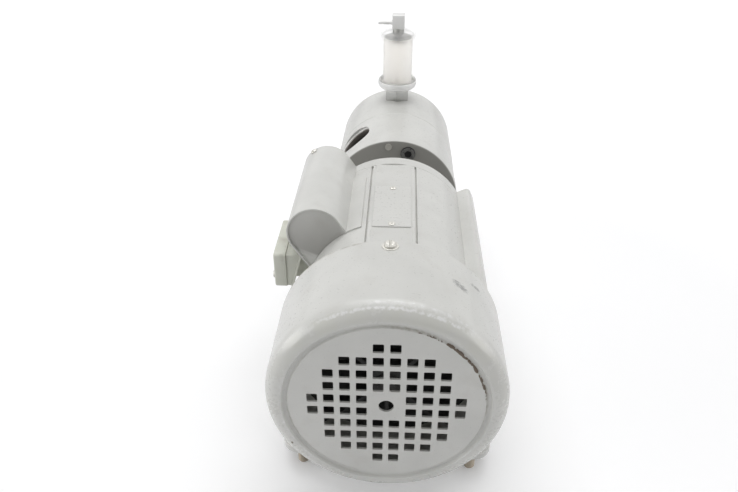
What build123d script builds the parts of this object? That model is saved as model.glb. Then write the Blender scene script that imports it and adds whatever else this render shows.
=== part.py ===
from build123d import *
import os
from math import atan2, cos, degrees, pi, radians, sin, sqrt

# Single-phase motor and diaphragm vacuum pump on one shaft, on a foot plate with four studs.
# Millimetres, +Z up.  Every part is drawn in the shaft frame: X across, Y along the shaft from the
# face of the fan cover, Z up from the shaft.  Row frame: origin on the floor, midway between the studs.

# ---- clearances ----
run_gap = 0.15         # a turning part beside a fixed one
seat_gap = 0.02        # a part that is pressed or screwed into its seat
fit_gap = 0.10         # loose fit of a cover, plate or bolt in its hole
ball_gap = 0.05        # ball in its groove

# ---- fan cover ----
cover_step = 13.2          # the cover's radius over the frame's
cover_length = 71.0
cover_wall = 1.5
cover_corner_r = 11.0
grille_set_back = 1.0      # grille face behind the front of the rim
grille_groove_width = 4.0
grille_groove_depth = 2.0
hole_pitch = 10.0
hole_side = 6.5
centre_hole_r = 4.65
hole_rows = [2, 6, 8, 8, 8, 8, 8, 8, 6, 2]
cover_screw_y = 64.0
cover_screw_r = 2.0
cover_screw_angles = [0, 120, 240]
dimple_r = 6.2
dimple_depth = 0.5
washer_r = 5.4
washer_t = 1.0
pan_head_r = 4.0
pan_head_h = 2.4

# ---- motor frame ----
frame_r = 61.8
frame_wall = 4.8
frame_y0 = 66.0
frame_y1 = 210.0
pad_half_width = 14.2      # flat pad along the top
pad_drop = 0.8             # the pad lies this far below the frame's crest
groove_x = 17.3            # one groove each side of the pad
groove_width = 1.5
groove_depth = 2.0
duct_angle = 63.0          # wiring duct along the right-hand side, from the top
duct_half_width = 4.75
duct_proud = 9.4           # the duct stands this far out of the frame
spigot_length = 7.0

# ---- plate on the pad ----
plate_y0 = 110.5
plate_y1 = 170.5
plate_half_width = 13.6
plate_t = 0.8
plate_screw_inset = 3.5
plate_screw_r = 1.3
plate_screw_head_r = 2.5
plate_screw_head_h = 0.9

# ---- shaft ----
fan_seat_r = 6.0
fan_shaft_y0 = 16.0
fan_bearing_bore_r = 7.5
shaft_shoulder_r = 9.5
rotor_seat_r = 12.0
drive_bearing_bore_r = 10.0
pump_shaft_r = 8.0
crank_seat_r = 6.0
tail_seat_r = 5.0

# ---- bearings: width, outer radius, number of balls, ball radius ----
fan_bearing_y0 = 52.0
fan_bearing_width = 11.0
fan_bearing_outer_r = 17.5
fan_bearing_balls = 7
fan_ball_r = 3.0
drive_bearing_y0 = 196.0
drive_bearing_width = 14.0
drive_bearing_outer_r = 23.5
drive_bearing_balls = 8
drive_ball_r = 3.9
tail_bearing_width = 8.0
tail_bearing_outer_r = 13.0
tail_bearing_balls = 7
tail_ball_r = 2.3
crank_bearing_width = 7.0
crank_bearing_outer_r = 16.0
crank_bearing_balls = 10
crank_ball_r = 1.9

# ---- stator and rotor ----
stack_y0 = 98.0
stack_length = 74.0
stator_bore_r = 33.0
air_gap = 0.4
slots = 24
slot_mouth_r = 34.2
slot_width = 4.4
winding_gap = 0.15
winding_overhang = 16.0
winding_ring_r0 = 35.0
rotor_ring_length = 7.0
rotor_ring_r0 = 19.0

# ---- end shields ----
shield_web = 7.0
drive_shield_y1 = 221.5
hub_wall = 6.0
lug_half_width = 7.0
tie_bolt_r = 2.5
tie_bolt_inset = 5.0       # tie bolts inside the frame's bore
tie_bolt_yoke = 6.0        # iron from the bolts' centres to the slots
tie_bolt_angles = [45, 135, 225, 315]
seal_r = 15.0
seal_width = 7.0
seal_lip_gap = 0.1

# ---- fan ----
fan_y0 = 20.0
fan_hub_r = 13.0
fan_hub_length = 24.0
fan_disc_t = 2.0
fan_tip_gap = 13.5
fan_blades = 8
fan_blade_t = 2.4
fan_blade_width = 20.0
circlip_t = 1.2
circlip_r = 8.6

# ---- capacitor and its cover ----
hump_inside_flank = 7.6    # centre of the cover's crown, from the frame's side and crest
hump_below_crest = 9.8
hump_tilt = 33.5           # the cover leans out to the left by this much
hump_r = 20.0
hump_wall = 1.2
hump_y0 = 114.0
hump_y1 = 220.0
hump_end_inset = 1.2
hump_flange = 12.0
hump_flange_y1 = 195.0
capacitor_r = 15.6
capacitor_shift = 2.6      # the can sits this far out along the cover's lean
capacitor_y0 = 124.0
capacitor_length = 70.0
hump_screw_r = 1.5
hump_screw_head_r = 2.6
hump_screw_head_h = 1.6

# ---- terminal box ----
box_reach = 23.5           # the lid's face stands this far outside the frame
box_z0 = 5.0
box_z1 = 33.5
box_y0 = 114.5
box_y1 = 165.5
box_wall = 2.0
lid_depth = 9.0
lid_step = 1.4             # the lid stands proud of the box by this much all round
lid_screw_r = 1.5
lid_screw_inset = 9.0
knockout_r = 3.6
knockout_y = 128.0

# ---- foot plate, cradles, studs ----
cover_floor_gap = 3.0      # the fan cover clears the foot plate's top by this
foot_plate_t = 5.0
foot_plate_half_width = 74.0
foot_plate_y0 = 35.0
foot_plate_y1 = 252.0
foot_plate_corner_r = 12.0
stud_r = 4.0
stud_shank_r = 3.6         # blank size, through the disc, the plate and the nut
stud_x = 60.0
stud_y0 = 43.5
stud_pitch = 200.0
foot_disc_r = 10.0
foot_disc_t = 5.0
stud_below_disc = 10.0
nut_af = 13.0
nut_h = 6.5
cradle_y = [92.0, 190.0]
cradle_length = 22.0
cradle_half_width = 46.0
cradle_wall = 4.0

# ---- pump adapter ----
adapter_flange_r = 52.0
adapter_flange_t = 8.5
adapter_register_r = 40.0
adapter_register_h = 3.0
neck_r = 38.0
neck_wall = 6.0
drum_y0 = 265.0
disc_t = 14.0
disc_step = 0.5            # the disc stands proud of the drum
adapter_screw_r = 3.0
adapter_screw_circle = 45.5
drum_spigot = 4.0

# ---- pump drum ----
drum_r = 57.0
drum_wall = 4.8
drum_seam_y = 332.0
drum_y1 = 405.0
drum_end_wall = 4.5
drum_end_fillet = 5.0
drum_edge = 0.8            # small chamfer each side of a drum joint
front_screw_r = 4.0
front_screw_head_r = 6.5
front_screw_head_h = 8.0
front_screw_socket_af = 6.0
front_screw_inset = 5.2
front_screw_angles = [14.3, 104.3, 194.3, 284.3]
front_lug_r = 6.8
front_lug_length = 18.0
rear_screw_r = 2.5
rear_screw_head_r = 4.3
rear_screw_head_h = 5.0
rear_screw_inset = 5.2
rear_lug_r = 5.6
rear_lug_length = 9.0
pin_r = 2.4
pin_angle = -6.5
pin_edge = 5.5             # pin's centre from the disc's rim

# ---- outlet port ----
port_y = 303.0
port_angle = -42.0
port_thread_r = 15.15
port_thread_length = 11.0
port_chamfer = 1.3
port_flat = 0.5
port_boss_r = 19.0
port_throat_r = 10.0
port_boss_depth = 17.0

# ---- crank, rod and diaphragm ----
head_y = 369.0             # vertical axis of the diaphragm and the head
throw = 2.5
eccentric_r = 10.0
eccentric_length = 12.0
counterweight_y0 = 350.0
counterweight_length = 10.5
counterweight_hub_r = 12.0
counterweight_r = 20.9     # clears the rod's disc at the bottom of the stroke
rod_ring_r = 20.0
rod_width = 8.0
rod_neck_half_width = 6.5
rod_top_z = 26.5           # at the top of the stroke
clamp_disc_r = 14.0
support_disc_t = 3.0
clamp_disc_t = 2.5
clamp_screw_r = 2.5
clamp_screw_head_r = 5.0
diaphragm_t = 2.0
diaphragm_roll_r = 19.8    # rubber is free to roll between the clamp discs and this radius

# ---- crankcase ----
crankcase_flange_r = 38.5
crankcase_flange_t = 8.0
crankcase_r = 28.0
crankcase_bore_r = 25.0
crankcase_y1 = 397.0
crankcase_tail_wall = 11.0
crankcase_screw_r = 2.5
crankcase_screw_circle = 33.2
head_r = 29.5
pot_bore_r = 22.0
pot_floor_z = 18.0
head_seat_z = 27.0
head_screw_r = 2.0
head_screw_circle = 25.2
head_screw_head_r = 3.5
head_screw_head_h = 4.0

# ---- valve plate and head ----
valve_plate_t = 10.5
dome_r = 20.0
dome_h = 5.5
valve_x = 9.0
valve_pocket_r = 6.0
valve_hole_r = 3.2
valve_disc_r = 5.5
valve_disc_t = 0.7
valve_lift = 0.8
valve_guard_t = 0.8
valve_pocket_depth = 2.5
head_crest_gap = 2.2
drum_head_gap = 0.6
chamber_depth = 3.0
inlet_bore_r = 8.3
nipple_flat_r = 13.6
nipple_flat_depth = 1.6

# ---- inlet filter ----
filter_y = 376.0           # behind the middle of the head, over its inlet chamber
nipple_af = 22.0
nipple_hex_h = 12.6
nipple_bore_r = 4.0
nipple_spigot_r = 8.0
filter_base_r = 19.0
filter_base_h = 7.0
filter_base_floor = 4.0
filter_groove = 1.0
bowl_r = 18.3
bowl_wall = 2.0
bowl_h = 49.5
bowl_shoulder_r = 7.0
bowl_hub_r = 7.5
bowl_hub_depth = 4.0
bowl_spigot_r = 17.2
element_r = 14.0
element_bore_r = 7.0
element_h = 45.0
stem_r = 3.2
stem_bore_r = 1.6
collar_r = 5.4
block_side = 12.0
block_height = 13.0
collar_rise = 1.5          # block above the bowl's crown
barb_r = 1.7
barb_crest_r = 2.2
barb_length = 13.3
barb_bore_r = 0.9
barb_rise = 5.0            # hose tail's axis above the block's foot

# ---- worked out from the sizes above ----
cover_r = frame_r + cover_step
grille_face_r = cover_r - cover_corner_r - grille_groove_width
fan_r = cover_r - cover_wall - fan_tip_gap
pad_height = frame_r - pad_drop
duct_reach = frame_r + duct_proud
hump_centre_x = hump_inside_flank - frame_r
hump_centre_z = frame_r - hump_below_crest
box_x0 = -(frame_r + box_reach)
foot_plate_top = -(cover_r + cover_floor_gap)
shaft_height = -foot_plate_top + foot_plate_t + foot_disc_t + stud_below_disc
stud_mid_y = stud_y0 + stud_pitch / 2
frame_bore_r = frame_r - frame_wall
tie_bolt_circle = frame_bore_r - tie_bolt_inset
slot_root_r = tie_bolt_circle - tie_bolt_yoke
stack_y1 = stack_y0 + stack_length
disc_y1 = drum_y0 + disc_t
drum_bore_r = drum_r - drum_wall
disc_r = drum_r + disc_step
front_screw_circle = drum_bore_r - front_screw_inset
rear_screw_circle = drum_bore_r - rear_screw_inset
pin_circle = disc_r - pin_edge
port_boss_root_r = drum_r - port_boss_depth
head_cover_top_z = drum_bore_r - head_crest_gap
fan_bearing_y1 = fan_bearing_y0 + fan_bearing_width
drive_bearing_y1 = drive_bearing_y0 + drive_bearing_width
drive_web_y0 = frame_y1
crank_bearing_y0 = head_y - crank_bearing_width / 2
tail_bearing_y0 = crankcase_y1 - crankcase_tail_wall + 0.5
tail_bearing_y1 = tail_bearing_y0 + tail_bearing_width
valve_plate_z0 = head_seat_z + diaphragm_t
valve_plate_z1 = valve_plate_z0 + valve_plate_t
dome_top_z = valve_plate_z0 + dome_h
valve_web_z = dome_top_z + valve_pocket_depth
head_cover_z0 = valve_plate_z1
head_cap_r = drum_bore_r - drum_head_gap
crankcase_flange_y0 = disc_y1 + drum_spigot
nipple_seat_z = drum_r - nipple_flat_depth
nipple_z1 = nipple_seat_z + nipple_hex_h
filter_base_z1 = nipple_z1 + filter_base_h
filter_floor_z = nipple_z1 + filter_base_floor
bowl_z1 = filter_base_z1 + bowl_h
element_z1 = filter_floor_z + element_h
block_z0 = bowl_z1 + collar_rise
barb_z = block_z0 + barb_rise

# ---------------------------------------------------------------- helpers

LOW = (Align.CENTER, Align.CENTER, Align.MIN)


def along_y(r, y0, y1, x=0.0, z=0.0):
    """Round bar along Y."""
    return Pos(x, y0, z) * Rot(-90, 0, 0) * Cylinder(r, y1 - y0, align=LOW)


def along_z(r, z0, z1, x=0.0, y=0.0):
    """Round bar along Z."""
    return Pos(x, y, z0) * Cylinder(r, z1 - z0, align=LOW)


def along_x(r, x0, x1, y=0.0, z=0.0):
    """Round bar along X."""
    return Pos(x0, y, z) * Rot(0, 90, 0) * Cylinder(r, x1 - x0, align=LOW)


def block(x0, x1, y0, y1, z0, z1):
    """Box between two corners."""
    return Pos((x0 + x1) / 2, (y0 + y1) / 2, (z0 + z1) / 2) * Box(x1 - x0, y1 - y0, z1 - z0)


def turned_y(*points):
    """Ring turned about the shaft from a closed outline of (radius, y)."""
    return revolve(make_face(Polyline(*points, close=True)), axis=Axis.Y)


def ring_y(r0, r1, y0, y1):
    """Plain ring about the shaft."""
    return turned_y((r0, y0), (r1, y0), (r1, y1), (r0, y1))


def turned_z(x, y, *points):
    """Ring turned about a vertical axis from a closed outline of (radius, z)."""
    face = Plane.XZ * make_face(Polyline(*points, close=True))
    return Pos(x, y, 0) * revolve(face, axis=Axis.Z)


def prism_y(face, y0, y1):
    """Face drawn in (x, z), carried along Y."""
    return extrude(Plane(origin=(0, y0, 0), x_dir=(1, 0, 0), z_dir=(0, -1, 0)) * face, amount=y0 - y1)


def polar(radius, angle):
    """(x, z) of a point at an angle clockwise from the top, seen from the fan cover."""
    return radius * sin(radians(angle)), radius * cos(radians(angle))


def hex_face(across_flats):
    return RegularPolygon(across_flats / 2, 6, major_radius=False)


def cap_screw_y(shank_r, head_r, head_h, seat_y, tip_y, x, z, socket_af=0.0):
    """Socket-head screw along Y with its head on the fan side of seat_y."""
    towards = 1 if tip_y > seat_y else -1
    low, high = sorted((seat_y, tip_y))
    head_low, head_high = sorted((seat_y, seat_y - towards * head_h))
    screw = along_y(shank_r, low, high, x, z) + along_y(head_r, head_low, head_high, x, z)
    if socket_af:
        depth = head_h * 0.5
        face_y = seat_y - towards * head_h
        s0, s1 = sorted((face_y, face_y + towards * depth))
        screw -= prism_y(Pos(x, z) * hex_face(socket_af), s0, s1)
    return screw


def ball_bearing(y0, width, bore_r, outer_r, balls, ball_r, z=0.0):
    """Inner ring, outer ring, and the balls with their cage."""
    mid_y, pitch_r = y0 + width / 2, (bore_r + outer_r) / 2
    land = ball_r * 0.55
    groove = Pos(0, mid_y, 0) * Rot(90, 0, 0) * Torus(pitch_r, ball_r + ball_gap)
    inner = ring_y(bore_r, pitch_r - land, y0, y0 + width) - groove
    outer = ring_y(pitch_r + land, outer_r, y0, y0 + width) - groove
    cage_half, cage_t = ball_r * 1.15, ball_r * 0.25
    cage = ring_y(pitch_r - cage_t, pitch_r + cage_t, mid_y - cage_half, mid_y + cage_half)
    solids = []
    for i in range(balls):
        turn = 360 * (i + 0.3) / balls
        pocket = along_z(ball_r + ball_gap, pitch_r - 2 * cage_t, pitch_r + 2 * cage_t, 0, mid_y)
        cage -= Rot(0, turn, 0) * pocket
        solids.append(Rot(0, turn, 0) * Pos(0, mid_y, pitch_r) * Sphere(ball_r))
    lift = Pos(0, 0, z)
    return lift * inner, lift * outer, [lift * cage] + [lift * s for s in solids]


# ---------------------------------------------------------------- fan cover and fan

def fan_cover():
    """Pressed steel cover: flat grille in a rounded rim, open at the back."""
    corner_x, corner_y = cover_r - cover_corner_r, cover_corner_r
    inner_r = cover_corner_r - cover_wall
    lip_r = corner_x + cover_wall
    lip_y = corner_y - sqrt(inner_r ** 2 - cover_wall ** 2)
    face_y = grille_set_back
    groove_y = face_y + grille_groove_depth
    diagonal = sqrt(0.5)
    edges = [
        Line((0, face_y), (grille_face_r, face_y)),
        Line((grille_face_r, face_y), (grille_face_r, groove_y)),
        Line((grille_face_r, groove_y), (corner_x, groove_y)),
        Line((corner_x, groove_y), (corner_x, 0)),
        ThreePointArc((corner_x, 0),
                      (corner_x + cover_corner_r * diagonal, corner_y - cover_corner_r * diagonal),
                      (cover_r, corner_y)),
        Line((cover_r, corner_y), (cover_r, cover_length)),
        Line((cover_r, cover_length), (cover_r - cover_wall, cover_length)),
        Line((cover_r - cover_wall, cover_length), (cover_r - cover_wall, corner_y)),
        ThreePointArc((cover_r - cover_wall, corner_y),
                      (corner_x + inner_r * diagonal, corner_y - inner_r * diagonal), (lip_r, lip_y)),
        Line((lip_r, lip_y), (lip_r, groove_y + cover_wall)),
        Line((lip_r, groove_y + cover_wall), (grille_face_r - cover_wall, groove_y + cover_wall)),
        Line((grille_face_r - cover_wall, groove_y + cover_wall),
             (grille_face_r - cover_wall, face_y + cover_wall)),
        Line((grille_face_r - cover_wall, face_y + cover_wall), (0, face_y + cover_wall)),
        Line((0, face_y + cover_wall), (0, face_y)),
    ]
    shell = revolve(make_face(Wire(edges)), axis=Axis.Y)
    centre = (len(hole_rows) - 1) / 2
    cutters = [along_y(centre_hole_r, face_y - 1, face_y + cover_wall + 1)]
    for row, count in enumerate(hole_rows):
        for column in range(count):
            x = (column - (count - 1) / 2) * hole_pitch
            z = (centre - row) * hole_pitch
            if max(abs(x), abs(z)) > hole_pitch * 0.6:
                cutters.append(Pos(x, face_y + cover_wall / 2, z) * Box(hole_side, cover_wall * 3, hole_side))
    for angle in cover_screw_angles:
        turn = Rot(0, angle, 0)
        cutters.append(turn * along_z(cover_screw_r + fit_gap, frame_r, cover_r + 1, 0, cover_screw_y))
        cutters.append(turn * along_z(dimple_r, cover_r - dimple_depth, cover_r + 1, 0, cover_screw_y))
    return shell - cutters


def fan_cover_screws():
    seat = cover_r - dimple_depth
    one = along_z(cover_screw_r, seat - 10, seat, 0, cover_screw_y)
    one += along_z(washer_r, seat, seat + washer_t, 0, cover_screw_y)
    head = along_z(pan_head_r, seat + washer_t, seat + washer_t + pan_head_h, 0, cover_screw_y)
    head -= block(-0.5, 0.5, cover_screw_y - 5, cover_screw_y + 5, seat + washer_t + pan_head_h - 1, cover_r + 9)
    one += head
    return [Rot(0, angle, 0) * one for angle in cover_screw_angles]


def external_fan():
    """Straight-bladed fan that blows the same in both directions."""
    disc_y0 = fan_y0 + fan_blade_width
    fan = ring_y(fan_seat_r, fan_hub_r, fan_y0, fan_y0 + fan_hub_length)
    fan += ring_y(fan_seat_r, fan_r, disc_y0, disc_y0 + fan_disc_t)
    for i in range(fan_blades):
        blade = block(-fan_blade_t / 2, fan_blade_t / 2, fan_y0 + 3, disc_y0 + fan_disc_t / 2, fan_hub_r - 2, fan_r)
        blade -= block(-fan_blade_t, fan_blade_t, fan_y0 - 1, fan_y0 + 8, fan_r - 12, fan_r + 1)
        fan += Rot(0, 360 * i / fan_blades, 0) * blade
    return fan


def fan_circlip():
    """Open spring ring in front of the fan hub."""
    ring = ring_y(fan_seat_r - 0.5, circlip_r, fan_y0 - circlip_t - 0.1, fan_y0 - 0.1)
    return ring - block(-1.5, 1.5, fan_y0 - 3, fan_y0 + 1, -circlip_r - 1, 0)


# ---------------------------------------------------------------- motor

def motor_frame():
    """Tube with a flat pad, two grooves and a wiring duct along it."""
    face = Circle(frame_r)
    tip_r = duct_reach - duct_half_width
    duct = Pos(0, (tip_r + frame_bore_r) / 2) * Rectangle(2 * duct_half_width, tip_r - frame_bore_r)
    duct += Pos(0, tip_r) * Circle(duct_half_width)
    face += Rot(0, 0, -duct_angle) * duct
    face += Pos(0, pad_height / 2) * Rectangle(2 * pad_half_width, pad_height)
    face -= Pos(0, pad_height + 5) * Rectangle(2 * pad_half_width, 10)
    for side in (-1, 1):
        depth_z = sqrt(frame_r ** 2 - groove_x ** 2) - groove_depth
        face -= Pos(side * groove_x, depth_z + 5) * Rectangle(groove_width, 10)
    face -= Circle(frame_bore_r)
    frame = prism_y(face, frame_y0, frame_y1)
    for y in (plate_y0 + plate_screw_inset, plate_y1 - plate_screw_inset):
        frame -= along_z(plate_screw_r, pad_height - 4, pad_height + 1, 0, y)
    return frame


def stator_core():
    face = Circle(frame_bore_r - seat_gap) - Circle(stator_bore_r)
    for i in range(slots):
        slot = Pos(0, (slot_root_r + slot_mouth_r) / 2) * Rectangle(slot_width, slot_root_r - slot_mouth_r)
        face -= Rot(0, 0, 360 * i / slots) * slot
    for angle in tie_bolt_angles:
        x, z = polar(tie_bolt_circle, angle)
        face -= Pos(x, z) * Circle(tie_bolt_r + fit_gap)
    return prism_y(face, stack_y0, stack_y1)


def stator_windings():
    """Coil sides in the slots, joined by a ring of end turns at each end."""
    bars = []
    depth = slot_root_r - slot_mouth_r - 2 * winding_gap
    for i in range(slots):
        bar = Pos(0, (slot_root_r + slot_mouth_r) / 2) * Rectangle(slot_width - 2 * winding_gap, depth)
        bars.append(prism_y(Rot(0, 0, 360 * i / slots) * bar, stack_y0 - 1, stack_y1 + 1))
    coil = ring_y(winding_ring_r0, slot_root_r, stack_y0 - winding_overhang, stack_y0 - winding_gap)
    coil = coil + ring_y(winding_ring_r0, slot_root_r, stack_y1 + winding_gap, stack_y1 + winding_overhang)
    return coil + bars


def rotor_core():
    """Laminated core with the short-circuit rings and stub blades cast onto its ends."""
    outer_r = stator_bore_r - air_gap - 1
    core = ring_y(rotor_seat_r, stator_bore_r - air_gap, stack_y0, stack_y1)
    for y0, y1, out in ((stack_y0 - rotor_ring_length, stack_y0, -1), (stack_y1, stack_y1 + rotor_ring_length, 1)):
        ring = ring_y(rotor_ring_r0, outer_r, y0, y1)
        end = y0 if out < 0 else y1
        for i in range(4):
            low, high = sorted((end - out, end + 5 * out))
            ring += Rot(0, 90 * i + 20, 0) * block(-1, 1, low, high, rotor_ring_r0 + 2, outer_r - 2)
        core += ring
    return core


def motor_shaft():
    """Stepped shaft from the fan to the tail bearing of the pump."""
    steps = [
        (fan_shaft_y0, fan_seat_r), (fan_bearing_y0 - 0.5, fan_bearing_bore_r),
        (fan_bearing_y1, shaft_shoulder_r), (stack_y0 - 6, rotor_seat_r),
        (drive_bearing_y0, drive_bearing_bore_r), (drive_bearing_y1 + 0.5, pump_shaft_r),
        (counterweight_y0, crank_seat_r), (tail_bearing_y0, tail_seat_r), (tail_bearing_y1 + 0.5, 0)]
    outline = [(0, steps[0][0])]
    for (y, r), (y_next, _) in zip(steps, steps[1:]):
        outline += [(r, y), (r, y_next)]
    outline.append((0, steps[-1][0]))
    shaft = turned_y(*outline)
    return shaft - ring_y(fan_seat_r - 0.5, fan_seat_r + 1, fan_y0 - circlip_t - 0.1, fan_y0 - 0.1)


def fan_end_shield():
    """Cast shield behind the fan: bearing hub, spokes to a rim, and lugs for the cover screws."""
    hub_r = fan_bearing_outer_r + hub_wall
    y0 = frame_y0 - shield_web
    shield = ring_y(fan_bearing_outer_r, hub_r, fan_bearing_y0 - 1, frame_y0 + 4)
    shield += ring_y(hub_r - 1, frame_r, y0, frame_y0)
    shield += ring_y(frame_bore_r - 4, frame_bore_r - seat_gap, frame_y0 - 1, frame_y0 + spigot_length)
    shield += ring_y(shaft_shoulder_r + 2, fan_bearing_outer_r + 1, fan_bearing_y1 + 2, frame_y0 + 4)
    lug_r = cover_r - cover_wall - fit_gap
    for angle in cover_screw_angles:
        lug = block(-lug_half_width, lug_half_width, y0, frame_y0, frame_r - 4, lug_r + 1)
        lug += block(-lug_half_width, lug_half_width, y0, frame_y0 + 4, frame_r + fit_gap, lug_r + 1)
        lug = lug & along_y(lug_r, y0, frame_y0 + 4)
        shield += Rot(0, angle, 0) * lug
        shield -= Rot(0, angle, 0) * along_z(cover_screw_r, cover_r - dimple_depth - 11, cover_r, 0, cover_screw_y)
    for angle in tie_bolt_angles:
        x, z = polar(tie_bolt_circle, angle)
        shield -= along_y(tie_bolt_r + fit_gap, y0 - 1, frame_y0 + spigot_length + 1, x, z)
    return shield


def wave_washer():
    """Spring washer that loads the fan-end bearing along the shaft."""
    y0 = fan_bearing_y1 + seat_gap
    return ring_y(fan_bearing_outer_r - 4.5, fan_bearing_outer_r - 0.5, y0, fan_bearing_y1 + 2 - seat_gap)


def drive_end_shield():
    """Cast shield at the pump end: bearing hub, web, rim flush with the frame, and a register recess."""
    hub_r = drive_bearing_outer_r + hub_wall
    web_y1 = drive_shield_y1 - adapter_register_h
    shield = ring_y(drive_bearing_outer_r, hub_r, drive_bearing_y0, drive_web_y0 + 1)
    shield += ring_y(hub_r - 1, frame_r, frame_y1, web_y1)
    shield += ring_y(adapter_register_r, frame_r, web_y1 - 1, drive_shield_y1)
    shield += ring_y(seal_r, hub_r, drive_bearing_y1, web_y1)
    shield += ring_y(frame_bore_r - 4, frame_bore_r - seat_gap, frame_y1 - spigot_length, frame_y1 + 1)
    for angle in tie_bolt_angles:
        x, z = polar(tie_bolt_circle, angle)
        shield -= along_y(tie_bolt_r + fit_gap, frame_y1 - spigot_length - 1, drive_shield_y1 + 1, x, z)
        shield -= along_y(tie_bolt_r * 2, drive_shield_y1 - 4, drive_shield_y1 + 1, x, z)
        x, z = polar(adapter_screw_circle, angle + 45)
        shield -= along_y(adapter_screw_r, frame_y1 + 1, drive_shield_y1 + 1, x, z)
    return shield


def tie_bolts():
    """Four long bolts that draw the two end shields onto the frame."""
    bolts = []
    head_seat = drive_shield_y1 - 4
    nut_seat = frame_y0 - shield_web
    for angle in tie_bolt_angles:
        x, z = polar(tie_bolt_circle, angle)
        bolt = along_y(tie_bolt_r, nut_seat - 6, head_seat + 3.5, x, z)
        bolt += along_y(tie_bolt_r * 2 - fit_gap, head_seat, head_seat + 3.5, x, z)
        bolt += prism_y(Pos(x, z) * hex_face(8.0), nut_seat - 4, nut_seat)
        bolts.append(bolt)
    return bolts


def shaft_seal():
    """Rubber lip seal where the shaft leaves the motor."""
    y0 = drive_bearing_y1 + 0.5
    lip_r = pump_shaft_r + seal_lip_gap
    return turned_y((lip_r + 3, y0), (seal_r - seat_gap, y0), (seal_r - seat_gap, y0 + seal_width),
                    (lip_r + 3, y0 + seal_width), (lip_r + 3, y0 + 3.5), (lip_r, y0 + 2.5), (lip_r, y0 + 1.5))


def blank_plate():
    plate = block(-plate_half_width, plate_half_width, plate_y0, plate_y1, pad_height, pad_height + plate_t)
    for y in (plate_y0 + plate_screw_inset, plate_y1 - plate_screw_inset):
        plate -= along_z(plate_screw_r, pad_height - 1, pad_height + 2, 0, y)
    return plate


def blank_plate_screws():
    screws = []
    top = pad_height + plate_t
    for y in (plate_y0 + plate_screw_inset, plate_y1 - plate_screw_inset):
        screw = along_z(plate_screw_r, pad_height - 3.5, top, 0, y)
        screws.append(screw + along_z(plate_screw_head_r, top, top + plate_screw_head_h, 0, y))
    return screws


# ---------------------------------------------------------------- capacitor and terminal box

def hump_face(r, sink):
    """U-shaped section of the capacitor cover, open towards the shaft."""
    lean = Pos(hump_centre_x, hump_centre_z) * Rot(0, 0, hump_tilt)
    return lean * (Circle(r) + Pos(0, -sink / 2) * Rectangle(2 * r, sink))


def capacitor_cover():
    """Folded steel cover with inset end plates and a flange that follows the frame."""
    outer = prism_y(hump_face(hump_r, frame_r), hump_y0, hump_y1)
    inner = prism_y(hump_face(hump_r - hump_wall, 2 * frame_r), hump_y0 - 1, hump_y1 + 1)
    ends = []
    for y in (hump_y0 + hump_end_inset, hump_y1 - hump_end_inset - hump_wall):
        ends.append(prism_y(hump_face(hump_r - hump_wall / 2, frame_r), y, y + hump_wall))
    cover = outer - inner + ends
    flange = ring_y(frame_r + seat_gap, frame_r + hump_wall, hump_y0, hump_flange_y1)
    edge_x = -groove_x - groove_width
    wedge = block(edge_x - 2.5 - hump_flange, edge_x - 2.5, hump_y0, hump_flange_y1, 0, frame_r + 2 * hump_wall)
    cover = cover + (flange & wedge)
    cover -= along_y(frame_r + seat_gap, hump_y0 - 2, hump_y1 + 2)
    for turn in hump_screw_turns():
        lug = turn * along_z(3.2, hump_r - 4.5, hump_r - hump_wall / 2, 0, hump_screw_y())
        cover += lug
        cover -= turn * along_z(hump_screw_r, hump_r - 6, hump_r + 1, 0, hump_screw_y())
    return cover


def hump_screw_y():
    return hump_y1 - hump_end_inset - hump_wall - 2.6


def hump_screw_turns():
    """One screw on the crest of the cover and one on its left flank."""
    centre = Pos(hump_centre_x, 0, hump_centre_z)
    return [centre * Rot(0, -hump_tilt, 0), centre * Rot(0, -hump_tilt - 75, 0)]


def capacitor_place():
    """(x, z) of the capacitor's own axis."""
    return (hump_centre_x - capacitor_shift * sin(radians(hump_tilt)),
            hump_centre_z + capacitor_shift * cos(radians(hump_tilt)))


def run_capacitor():
    """Plain can with a crimped rim and two blade terminals."""
    x, z = capacitor_place()
    end = capacitor_y0 + capacitor_length
    can = along_y(capacitor_r, capacitor_y0, end, x, z)
    can += along_y(capacitor_r + 0.2, end - 3, end - 1.5, x, z)
    for side in (-1, 1):
        can += block(x + side * 5 - 0.4, x + side * 5 + 0.4, end - 1, end + 9, z - 3, z + 3)
    return can


def capacitor_cover_screws():
    screws = []
    for turn in hump_screw_turns():
        one = along_z(hump_screw_r, hump_r - 5, hump_r, 0, hump_screw_y())
        one += along_z(hump_screw_head_r, hump_r, hump_r + hump_screw_head_h, 0, hump_screw_y())
        screws.append(turn * one)
    return screws


def box_space(inset):
    """Block inside the box's outline, kept clear of the frame and of the capacitor cover."""
    space = block(box_x0 + lid_depth, 0, box_y0 + lid_step + inset, box_y1 - lid_step - inset,
                  box_z0 + lid_step + inset, box_z1 - lid_step - inset)
    space -= along_y(frame_r + seat_gap + inset, box_y0 - 1, box_y1 + 1)
    hump = prism_y(hump_face(hump_r + 0.3 + inset, frame_r), box_y0 - 2, box_y1 + 2)
    return space - hump


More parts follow.
